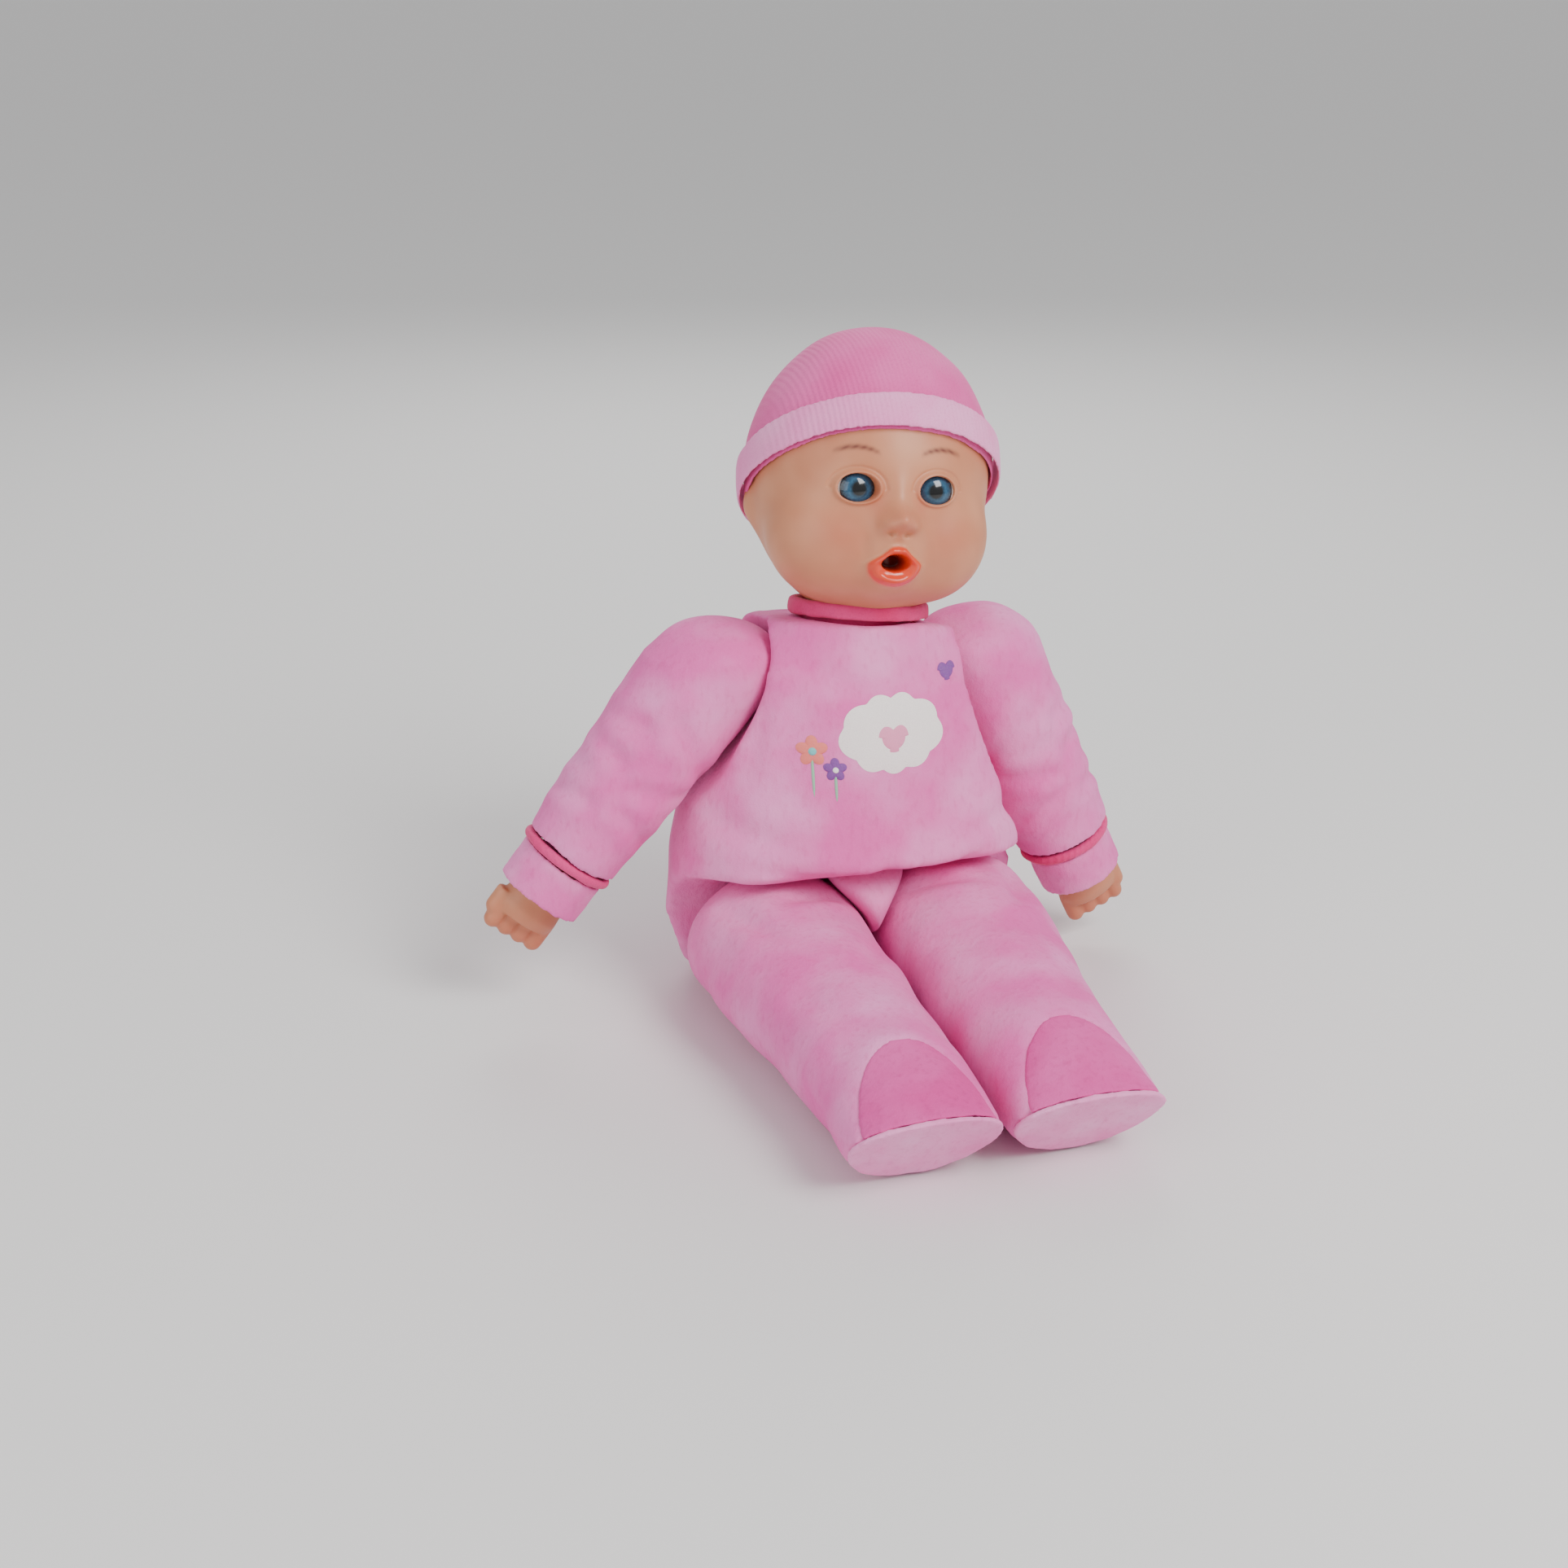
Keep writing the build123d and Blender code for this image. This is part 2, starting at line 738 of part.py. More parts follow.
board_front = box_parting - board_thickness - fit_gap
with BuildPart() as circuit_board:
    with BuildSketch(box_plane(board_front + board_thickness)):
        with Locations((0, box_middle)):
            Rectangle(2 * board_half_width, 2 * board_half_height)
        with Locations(*screw_posts):
            Circle(post_radius + 1, mode=Mode.SUBTRACT)
    extrude(amount=board_thickness)
circuit_board.part.label = "circuit_board"

with BuildPart() as power_slider:
    with BuildSketch(box_plane(box_back + slider_proud)):
        with Locations((-slider_travel / 2, slider_height)):
            Rectangle(2 * slider_half_width, 2 * slider_half_height)
    extrude(amount=slider_proud + box_wall + 1)
    fillet(power_slider.faces().sort_by(Axis.Y)[-1].edges(), 0.5)
power_slider.part.label = "power_slider"

# ---- Belly switch ----------------------------------------------------------------------
button_front = -belly_button_front
button_back = button_front - belly_button_thickness
switch_front = button_back - belly_travel - guide_gap
switch_back = switch_front - belly_switch_depth
stem_reach = switch_front - belly_switch_depth / 2
belly_button_disc = ring_form(facing, 0, belly_button_radius, button_back, button_front)
belly_button_stem = ring_form(facing, 0, belly_stem_radius, stem_reach + belly_travel, button_back)
with BuildPart() as belly_button:
    add(belly_button_disc)
    add(belly_button_stem)
belly_button.part.label = "belly_button"

belly_switch_body = ring_form(facing, 0, belly_switch_radius, switch_back, switch_front)
belly_switch_bore = ring_form(
    facing, 0, belly_stem_radius + guide_gap, stem_reach - guide_gap, switch_front
)
with BuildPart() as belly_switch:
    add(belly_switch_body)
    add(belly_switch_bore, mode=Mode.SUBTRACT)
belly_switch.part.label = "belly_switch"

# ---- Head shell ------------------------------------------------------------------------
skull_plane = head_plane(0, 0, 0)
muzzle_plane = Plane(
    origin=head_point(0, -face_forward, -face_below),
    x_dir=head_direction(1, 0, 0),
    z_dir=head_direction(0, -1, 0),
)
mouth_plane = Plane(
    origin=head_point(0, 0, -mouth_below),
    x_dir=head_direction(1, 0, 0),
    z_dir=head_direction(0, -1, 0),
)
nose_plane = head_plane(0, -nose_forward, -nose_below)
eye_planes = {
    name: Plane(
        origin=head_point(side * eye_spacing, -eye_forward, -eye_below),
        x_dir=head_direction(1, 0, 0),
        z_dir=head_direction(0, -1, 0),
    )
    for name, side in leg_sides.items()
}
skull_outside = spheroid_form(skull_plane, skull_radius, skull_half_height)
skull_inside = spheroid_form(
    skull_plane, skull_radius - vinyl_wall, skull_half_height - vinyl_wall
)
muzzle_outside = spheroid_form(muzzle_plane, face_radius, face_reach)
muzzle_inside = spheroid_form(muzzle_plane, face_radius - vinyl_wall, face_reach - vinyl_wall)
nose_form = spheroid_form(nose_plane, nose_radius, nose_radius)
neck_post = ring_form(neck_plane, 0, neck_radius, -neck_foot_below, -neck_top_below)
neck_bore = ring_form(neck_plane, 0, neck_bore_radius, -far, -neck_bore_top_below)
neck_groove = ring_form(
    neck_plane,
    neck_groove_radius,
    neck_radius + 1,
    -neck_groove_below,
    -neck_groove_below + neck_tie_width,
)
bore_floor = mouth_front - mouth_bore_length
plunger_front = bore_floor - guide_gap
plunger_back = plunger_front - plunger_thickness
mouth_tube_back = plunger_back - mouth_travel - guide_gap
switch_rear = mouth_tube_back - mouth_switch_depth
mouth_tube = ring_form(mouth_plane, 0, mouth_tube_radius, mouth_tube_back, mouth_front)
mouth_bore = ring_form(mouth_plane, 0, mouth_bore_radius, bore_floor, far)
plunger_chamber = ring_form(
    mouth_plane, 0, plunger_radius + guide_gap, mouth_tube_back, bore_floor
)
lip_face = ring_form(mouth_plane, 0, mouth_tube_radius, mouth_front, far)
socket_forms = {
    name: spheroid_form(place, eye_radius + fit_gap, eye_radius + fit_gap)
    for name, place in eye_planes.items()
}

with BuildPart() as head_shell:
    add(skull_outside)
    add(muzzle_outside)
    add(nose_form)
    add(neck_post)
    add(skull_inside, mode=Mode.SUBTRACT)
    add(muzzle_inside, mode=Mode.SUBTRACT)
    add(neck_bore, mode=Mode.SUBTRACT)
    add(neck_groove, mode=Mode.SUBTRACT)
    add(mouth_tube)
    add(mouth_bore, mode=Mode.SUBTRACT)
    add(plunger_chamber, mode=Mode.SUBTRACT)
    add(lip_face, mode=Mode.SUBTRACT)
    for socket in socket_forms.values():
        add(socket, mode=Mode.SUBTRACT)
head_shell.part.label = "head_shell"

plunger_head_part = ring_form(mouth_plane, 0, plunger_radius, plunger_back, plunger_front)
plunger_stem_part = ring_form(
    mouth_plane, 0, plunger_stem_radius, mouth_tube_back - mouth_switch_depth / 2, plunger_back
)
with BuildPart() as mouth_plunger:
    add(plunger_head_part)
    add(plunger_stem_part)
mouth_plunger.part.label = "mouth_plunger"

plunger_room = ring_form(
    mouth_plane,
    0,
    plunger_stem_radius + guide_gap,
    mouth_tube_back - mouth_switch_depth / 2 - mouth_travel - guide_gap,
    mouth_tube_back,
)
with BuildPart() as mouth_switch:
    with BuildSketch(mouth_plane.offset(switch_rear)):
        Rectangle(2 * mouth_switch_half_width, 2 * mouth_switch_half_height)
    extrude(amount=mouth_switch_depth)
    add(plunger_room, mode=Mode.SUBTRACT)
mouth_switch.part.label = "mouth_switch"

# ---- Eyes ------------------------------------------------------------------------------
iris_back = eye_radius - iris_sunk - iris_thickness
eye_nodes = {}
for name, place in eye_planes.items():
    globe_form = spheroid_form(place, eye_radius, eye_radius)
    globe_back = ring_form(place, 0, far / 4, -far, eye_back)
    iris_well = ring_form(place, 0, iris_radius, iris_back, far)
    iris_form = ring_form(place, 0, iris_radius, iris_back, iris_back + iris_thickness)
    cornea_room = ring_form(place, 0, iris_radius, iris_back + iris_thickness, far)
    with BuildPart() as eye_globe:
        add(globe_form)
        add(globe_back, mode=Mode.SUBTRACT)
        add(iris_well, mode=Mode.SUBTRACT)
    with BuildPart() as eye_iris:
        add(iris_form)
        add(globe_form, mode=Mode.INTERSECT)
    with BuildPart() as eye_cornea:
        add(globe_form)
        add(cornea_room, mode=Mode.INTERSECT)
    eye_nodes[name + "_eye_globe"] = eye_globe
    eye_nodes[name + "_eye_iris"] = eye_iris
    eye_nodes[name + "_eye_cornea"] = eye_cornea

# ---- Hat -------------------------------------------------------------------------------
brim_plane = Plane(
    origin=head_point(0, -skull_radius, brim_front_height),
    x_dir=head_direction(1, 0, 0),
    z_dir=head_direction(0, sin(radians(brim_tilt)), cos(radians(brim_tilt))),
)
crown_inside = spheroid_form(skull_plane, skull_radius + hat_gap, skull_half_height + hat_gap)
crown_reach = hat_gap + knit_cloth
crown_outside = spheroid_form(
    skull_plane, skull_radius + crown_reach, skull_half_height + crown_reach
)
cuff_reach = crown_reach + knit_cloth
cuff_outside = spheroid_form(skull_plane, skull_radius + cuff_reach, skull_half_height + cuff_reach)

with BuildPart() as over_brim_form:
    with BuildSketch(brim_plane.offset(brim_width)):
        Rectangle(2 * far, 2 * far)
    extrude(amount=far)
over_brim = over_brim_form.part

with BuildPart() as hat_crown:
    add(crown_outside)
    add(crown_inside, mode=Mode.SUBTRACT)
    split(bisect_by=brim_plane, keep=Keep.TOP)
hat_crown.part.label = "hat_crown"

with BuildPart() as hat_cuff:
    add(cuff_outside)
    add(crown_outside, mode=Mode.SUBTRACT)
    split(bisect_by=brim_plane, keep=Keep.TOP)
    add(over_brim, mode=Mode.SUBTRACT)
hat_cuff.part.label = "hat_cuff"


# ---- Arms ------------------------------------------------------------------------------
def arm_form(place, inset, end):
    """A stuffed arm about place's Z axis, drawn in by inset and cut off at end."""
    taper = (shoulder_radius - sleeve_end_radius) / sleeve_length
    root = shoulder_radius - inset
    end_radius = shoulder_radius - taper * end - inset
    with BuildPart() as form:
        with BuildSketch(upright(place)):
            with BuildLine():
                CenterArc((0, 0), root, -90, 90)
                Polyline((root, 0), (end_radius, end), (0, end), (0, -root))
            make_face()
        revolve(axis=Axis(place.origin, place.z_dir))
    return form.part


piping_centre = sleeve_length + piping_radius
cuff_start = sleeve_length + 2 * piping_radius
cuff_end = cuff_start + cuff_length
wrist_start = cuff_end - wrist_length
groove_start = wrist_start + 3
groove_radius = wrist_radius - wrist_groove_depth
palm_end = cuff_end + palm_length - 3
limb_nodes = {}
for name, (side, height, lean) in arm_sides.items():
    place = arm_plane(side, height, lean)
    axis = Axis(place.origin, place.z_dir)
    sleeve_outside = arm_form(place, 0, sleeve_length)
    sleeve_inside = arm_form(place, suit_cloth, sleeve_length)
    padding = arm_form(place, stuffing_inset, sleeve_length - sleeve_end_padding)
    tie_form = ring_form(
        place,
        groove_radius + guide_gap,
        cuff_radius - suit_cloth,
        groove_start + fit_gap,
        groove_start + wrist_tie_width - fit_gap,
    )
    cuff_form = ring_form(place, cuff_radius - suit_cloth, cuff_radius, cuff_start, cuff_end)
    groove_form = ring_form(
        place, groove_radius, wrist_radius + 1, groove_start, groove_start + wrist_tie_width
    )

    with BuildPart() as arm_stuffing:
        add(padding)
    limb_nodes[name + "_arm_stuffing"] = arm_stuffing

    with BuildPart() as sleeve:
        add(sleeve_outside)
        add(sleeve_inside, mode=Mode.SUBTRACT)
    limb_nodes[name + "_sleeve"] = sleeve

    with BuildPart() as cuff_piping:
        with BuildSketch(upright(place)):
            with Locations((sleeve_end_radius - piping_radius, piping_centre)):
                Circle(piping_radius)
        revolve(axis=axis)
    limb_nodes[name + "_cuff_piping"] = cuff_piping

    with BuildPart() as cuff:
        add(cuff_form)
    limb_nodes[name + "_cuff"] = cuff

    with BuildPart() as wrist_tie:
        add(tie_form)
    limb_nodes[name + "_wrist_tie"] = wrist_tie

    # The hand: a grooved wrist in the cuff, a rounded palm, four fingers and a thumb.
    with BuildPart() as hand:
        with BuildSketch(place.offset(wrist_start)):
            Circle(wrist_radius)
        extrude(amount=wrist_length - 1)
        add(groove_form, mode=Mode.SUBTRACT)
        with BuildSketch(place.offset(cuff_end - 1)):
            Ellipse(palm_half_width - 1, palm_half_depth)
        with BuildSketch(place.offset(cuff_end + palm_length / 2)):
            Ellipse(palm_half_width, palm_half_depth)
        with BuildSketch(place.offset(palm_end)):
            Ellipse(palm_half_width - 1, palm_half_depth - 2)
        loft(ruled=True)
        for step in (-1.5, -0.5, 0.5, 1.5):
            finger_place = Plane(
                origin=place.from_local_coords((step * finger_spacing, 0, palm_end - 4)),
                x_dir=place.x_dir,
                z_dir=place.z_dir,
            )
            with BuildSketch(finger_place):
                Circle(finger_radius)
            extrude(amount=finger_length)
            with Locations(finger_place.offset(finger_length)):
                Sphere(finger_radius)
        thumb_place = Plane(
            origin=place.from_local_coords((palm_half_width - 1, 0, cuff_end + 4)),
            x_dir=place.x_dir,
            z_dir=place.z_dir,
        )
        with BuildSketch(thumb_place):
            Circle(thumb_radius)
        extrude(amount=thumb_length)
        with Locations(thumb_place.offset(thumb_length)):
            Sphere(thumb_radius)
    limb_nodes[name + "_hand"] = hand


# ---- Legs ------------------------------------------------------------------------------
def leg_form(side, inset):
    """A stuffed leg, drawn in by inset, from its round root to past the toes."""
    sections = (
        (hip_setback, hip_spread, thigh_radius, thigh_half_width, thigh_radius),
        (
            (hip_setback + knee_y) / 2,
            hip_spread - 1,
            thigh_radius - 1,
            thigh_half_width - 1.5,
            thigh_radius - 1,
        ),
        (
            knee_y,
            (hip_spread + 2 * ankle_spread) / 3,
            (thigh_radius + 2 * ankle_radius) / 3,
            (thigh_half_width + 2 * ankle_half_width) / 3,
            (thigh_radius + 2 * ankle_radius) / 3,
        ),
        (ankle_y, ankle_spread, ankle_radius, ankle_half_width, ankle_radius),
        (heel_y - 5, ankle_spread, ankle_radius - 1.5, ankle_half_width, ankle_radius - 3.5),
        (toe_y - 2, ankle_spread, ankle_radius - 2, ankle_half_width, toe_height - ankle_radius + 3),
    )
    root_plane = Plane(origin=(0, hip_setback, 0), x_dir=(side, 0, 0), z_dir=(0, 1, 0))
    with BuildPart() as form:
        for y, spread, middle, half_width, half_height in sections:
            with BuildSketch(Plane.XZ.offset(-y)):
                with Locations((side * spread, middle)):
                    Ellipse(half_width - inset, half_height - inset)
        loft(ruled=True)
        with BuildSketch(Plane.XZ.offset(-hip_setback)):
            with BuildLine():
                EllipticalCenterArc(
                    (side * hip_spread, thigh_radius),
                    thigh_half_width - inset,
                    thigh_radius - inset,
                    0,
                    arc_size=180,
                )
                Line(
                    (side * hip_spread - thigh_half_width + inset, thigh_radius),
                    (side * hip_spread + thigh_half_width - inset, thigh_radius),
                )
            make_face()
        revolve(axis=Axis((0, hip_setback, thigh_radius), (1, 0, 0)), revolution_arc=-180)
    return form.part


def sole_plane(drawn_in):
    """The plane of the sole, moved in by drawn_in, with its normal outwards."""
    rise = Vector(0, toe_y - heel_y, toe_height).normalized()
    outward = Vector(0, -rise.Z, rise.Y)
    return Plane(
        origin=Vector(0, heel_y, 0) - outward * drawn_in, x_dir=(1, 0, 0), z_dir=outward
    )


for name, side in leg_sides.items():
    leg_outside = leg_form(side, 0)
    leg_inside = leg_form(side, suit_cloth)
    leg_padding = leg_form(side, stuffing_inset)
    with BuildPart() as leg_skin:
        add(leg_outside)
        add(leg_inside, mode=Mode.SUBTRACT)
        split(bisect_by=sole_plane(sole_cloth), keep=Keep.BOTTOM)
    with BuildPart() as moon_prism:
        with BuildSketch(Plane.XY.offset(ankle_radius)):
            with Locations((side * ankle_spread, toe_y)):
                Ellipse(patch_half_width, patch_half_length)
        extrude(amount=far)

    with BuildPart() as leg_stuffing:
        add(leg_padding)
        split(bisect_by=sole_plane(sole_cloth + cloth_gap), keep=Keep.BOTTOM)
    limb_nodes[name + "_leg_stuffing"] = leg_stuffing

    with BuildPart() as trouser_leg:
        add(leg_skin.part)
        add(moon_prism.part, mode=Mode.SUBTRACT)
    limb_nodes[name + "_trouser_leg"] = trouser_leg

    with BuildPart() as foot_top:
        add(leg_skin.part)
        add(moon_prism.part, mode=Mode.INTERSECT)
    limb_nodes[name + "_foot_top"] = foot_top

    with BuildPart() as foot_sole:
        add(leg_outside)
        split(bisect_by=sole_plane(0), keep=Keep.BOTTOM)
        split(bisect_by=sole_plane(sole_cloth), keep=Keep.TOP)
    limb_nodes[name + "_foot_sole"] = foot_sole

for node_name, builder in {**eye_nodes, **limb_nodes}.items():
    builder.part.label = node_name
    export_step(seated(builder.part), "parts/" + node_name + ".step")

export_step(seated(torso_stuffing.part), "parts/torso_stuffing.step")
export_step(seated(suit_front.part), "parts/suit_front.step")
export_step(seated(suit_back.part), "parts/suit_back.step")
export_step(seated(neck_binding.part), "parts/neck_binding.step")
export_step(seated(neck_tie.part), "parts/neck_tie.step")
export_step(seated(chest_patch.part), "parts/chest_patch.step")
export_step(seated(flap_hook_tape.part), "parts/flap_hook_tape.step")
export_step(seated(flap_loop_tape.part), "parts/flap_loop_tape.step")
export_step(seated(back_flap.part), "parts/back_flap.step")
export_step(seated(sound_case_front.part), "parts/sound_case_front.step")
export_step(seated(sound_case_rear.part), "parts/sound_case_rear.step")
export_step(seated(battery_door.part), "parts/battery_door.step")
export_step(seated(battery_door_screw.part), "parts/battery_door_screw.step")
export_step(seated(case_screws.part), "parts/case_screws.step")
export_step(seated(battery_cells.part), "parts/battery_cells.step")
export_step(seated(battery_contacts.part), "parts/battery_contacts.step")
export_step(seated(speaker_frame.part), "parts/speaker_frame.step")
export_step(seated(speaker_cone.part), "parts/speaker_cone.step")
export_step(seated(speaker_magnet.part), "parts/speaker_magnet.step")
export_step(seated(circuit_board.part), "parts/circuit_board.step")
export_step(seated(power_slider.part), "parts/power_slider.step")
export_step(seated(belly_button.part), "parts/belly_button.step")
export_step(seated(belly_switch.part), "parts/belly_switch.step")
export_step(seated(head_shell.part), "parts/head_shell.step")
export_step(seated(mouth_switch.part), "parts/mouth_switch.step")
export_step(seated(mouth_plunger.part), "parts/mouth_plunger.step")
export_step(seated(hat_crown.part), "parts/hat_crown.step")
export_step(seated(hat_cuff.part), "parts/hat_cuff.step")
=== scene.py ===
"""A soft-bodied baby doll in a velour suit and a folded hat, dressed over its CAD frame."""

import json
import math

import bmesh
import bpy
import numpy as np
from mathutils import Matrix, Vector, noise
from mathutils.bvhtree import BVHTree


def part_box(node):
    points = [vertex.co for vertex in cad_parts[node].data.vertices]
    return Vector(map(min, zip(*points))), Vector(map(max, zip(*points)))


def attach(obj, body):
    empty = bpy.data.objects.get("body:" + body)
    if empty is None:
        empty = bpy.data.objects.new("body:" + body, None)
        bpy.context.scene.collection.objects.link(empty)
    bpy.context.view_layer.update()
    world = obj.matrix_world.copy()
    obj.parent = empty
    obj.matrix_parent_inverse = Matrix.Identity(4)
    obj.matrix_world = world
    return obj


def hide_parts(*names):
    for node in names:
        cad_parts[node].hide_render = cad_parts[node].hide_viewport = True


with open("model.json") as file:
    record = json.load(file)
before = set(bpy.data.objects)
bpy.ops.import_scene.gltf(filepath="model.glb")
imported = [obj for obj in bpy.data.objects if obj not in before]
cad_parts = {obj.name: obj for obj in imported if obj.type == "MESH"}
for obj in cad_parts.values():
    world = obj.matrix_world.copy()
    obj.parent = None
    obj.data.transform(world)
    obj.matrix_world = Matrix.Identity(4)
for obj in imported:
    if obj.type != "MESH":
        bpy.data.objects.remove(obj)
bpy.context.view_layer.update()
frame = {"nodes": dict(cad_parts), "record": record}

bl_info = {
    "name": "Baby Doll",
    "version": (1, 0, 0),
    "blender": (4, 5, 0),
    "location": "3D View > Sidebar > Doll",
    "description": "Sews, moulds and paints a sitting baby doll over its frame",
    "category": "Add Mesh",
}

MM = 0.001


# ---- Where things are ----------------------------------------------------------------------


def joint_of(name):
    """The record's joint of that name."""
    return next(j for j in frame["record"]["behaviour"]["joints"] if j["name"] == name)


def mount_of(name):
    """The record's mount of that name."""
    return next(m for m in frame["record"]["mounts"] if m["name"] == name)


UP = np.array(joint_of("head_turn")["axis"], float)
FRONT = np.array(mount_of("mouth")["axis"], float)
LEFT = np.cross(UP, FRONT)
NECK = np.array(joint_of("head_turn")["pos_m"], float) / MM
HEAD = NECK + 4 * FRONT + 56 * UP
SHOULDER_Y = joint_of("left_shoulder_swing")["pos_m"][1] / MM


def from_head(points):
    """Points in the level head (left, back, up), as points of the doll, in millimetres."""
    points = np.asarray(points, float)
    return HEAD + points[..., 0:1] * LEFT - points[..., 1:2] * FRONT + points[..., 2:3] * UP


def from_shoulders(points):
    """Points given from under the middle of the shoulders, as points of the doll."""
    return np.asarray(points, float) + np.array([0.0, SHOULDER_Y, 0.0])


# ---- Colours and materials --------------------------------------------------------------------


def paint(code):
    """A colour of a hex code, as the linear colour that the shaders take."""
    parts = [int(code[i : i + 2], 16) / 255 for i in (1, 3, 5)]
    return (*[c / 12.92 if c <= 0.04045 else ((c + 0.055) / 1.055) ** 2.4 for c in parts], 1.0)


def add(tree, kind, inputs=None, **settings):
    """A node with its settings and inputs, each input a value or another node's socket."""
    made = tree.nodes.new(kind)
    for key, value in settings.items():
        setattr(made, key, value)
    for key, value in (inputs or {}).items():
        if isinstance(value, bpy.types.NodeSocket):
            tree.links.new(value, made.inputs[key])
        else:
            made.inputs[key].default_value = value
    return made


def mix(tree, share, low, high):
    """Two colours mixed by a share."""
    made = add(tree, "ShaderNodeMix", {0: share, 6: low, 7: high}, data_type="RGBA")
    return made.outputs[2]


def span(tree, value, low, high, start=0.0, end=1.0):
    """A value taken from one range to another, and kept inside it."""
    inputs = {0: value, 1: low, 2: high, 3: start, 4: end}
    return add(tree, "ShaderNodeMapRange", inputs).outputs[0]


def attribute(tree, name):
    """A piece's own painted value."""
    return add(tree, "ShaderNodeAttribute", attribute_name=name).outputs["Fac"]


def grain(tree, size_mm, detail=2.0, stretch=None):
    """Noise whose lumps are about that many millimetres across."""
    place = add(tree, "ShaderNodeTexCoord").outputs["Object"]
    if stretch:
        place = add(tree, "ShaderNodeMapping", {0: place, 3: stretch}).outputs[0]
    inputs = {"Vector": place, "Scale": 1000 / size_mm, "Detail": detail}
    return add(tree, "ShaderNodeTexNoise", inputs).outputs["Fac"]


def bumps(tree, height, depth_mm, under=None):
    """A bump that deep, on top of another one."""
    inputs = {"Height": height, "Strength": 1.0, "Distance": depth_mm * MM}
    if under:
        inputs["Normal"] = under
    return add(tree, "ShaderNodeBump", inputs).outputs["Normal"]


def begin(name):
    """A new material, its tree and its shader."""
    made = bpy.data.materials.new(name)
    made.use_nodes = True
    return made, made.node_tree, made.node_tree.nodes["Principled BSDF"]


def velour(name, mid, light, deep, sheen=0.16):
    """Polyester velour: a short nap that is brushed lighter and darker in soft patches."""
    made, tree, shader = begin(name)
    brushed = span(tree, grain(tree, 34, 3.0), 0.36, 0.66)
    nap = grain(tree, 0.55, 3.0)
    pile = grain(tree, 2.2, 4.0, (1.0, 1.0, 0.45))
    cloth = mix(tree, brushed, paint(mid), paint(light))
    cloth = mix(tree, span(tree, pile, 0.52, 0.8, 0.0, 0.34), cloth, paint(deep))
    cloth = mix(tree, span(tree, nap, 0.55, 0.8, 0.0, 0.25), cloth, paint(light))
    normal = bumps(tree, pile, 0.28, bumps(tree, nap, 0.16))
    tree.links.new(cloth, shader.inputs["Base Color"])
    tree.links.new(normal, shader.inputs["Normal"])
    shader.inputs["Roughness"].default_value = 0.88
    shader.inputs["Sheen Weight"].default_value = sheen
    shader.inputs["Sheen Roughness"].default_value = 0.4
    shader.inputs["Sheen Tint"].default_value = paint(light)
    return made


def knitted(name, mid, light, rib_mm, deep):
    """Cotton jersey or rib: fine upright wales with a small loop grain."""
    made, tree, shader = begin(name)
    place = add(tree, "ShaderNodeTexCoord").outputs["Object"]
    wave_inputs = {"Vector": place, "Scale": 1000 / rib_mm / 6.28, "Distortion": 0.6}
    wales = add(tree, "ShaderNodeTexWave", wave_inputs, bands_direction="X").outputs["Fac"]
    loops = grain(tree, 0.7, 2.0)
    cloth = mix(tree, span(tree, grain(tree, 26), 0.35, 0.65), paint(mid), paint(light))
    cloth = mix(tree, span(tree, loops, 0.5, 0.8, 0.0, 0.3), cloth, paint(deep))
    normal = bumps(tree, wales, 0.12, bumps(tree, loops, 0.14))
    tree.links.new(cloth, shader.inputs["Base Color"])
    tree.links.new(normal, shader.inputs["Normal"])
    shader.inputs["Roughness"].default_value = 0.85
    shader.inputs["Sheen Weight"].default_value = 0.12
    return made


def skin_vinyl():
    """Soft matt vinyl with sprayed blush, brows and glossy painted lips, and painted shade in the
    mouth's hollow.
    """
    made, tree, shader = begin("skin_vinyl")
    mottle = span(tree, grain(tree, 22), 0.3, 0.7)
    pores = grain(tree, 0.6, 2.0)
    skin = mix(tree, mottle, paint("#C27A56"), paint("#CF8C68"))
    skin = mix(tree, attribute(tree, "blush"), skin, paint("#B9503C"))
    skin = mix(tree, attribute(tree, "brow"), skin, paint("#6E352A"))
    skin = mix(tree, attribute(tree, "lip"), skin, paint("#DE4426"))
    # The mouth's hollow is painted dark red-black: partly the red inside of the mouth, partly
    # painted shade of the recess.
    skin = mix(tree, attribute(tree, "mouth_shade"), skin, paint("#5A0F0A"))
    gloss = span(tree, attribute(tree, "lip"), 0.0, 1.0, 0.46, 0.16)
    tree.links.new(skin, shader.inputs["Base Color"])
    tree.links.new(gloss, shader.inputs["Roughness"])
    tree.links.new(bumps(tree, pores, 0.02), shader.inputs["Normal"])
    shader.inputs["Subsurface Weight"].default_value = 0.12
    shader.inputs["Subsurface Radius"].default_value = (1.0, 0.4, 0.25)
    shader.inputs["Subsurface Scale"].default_value = 0.003
    return made


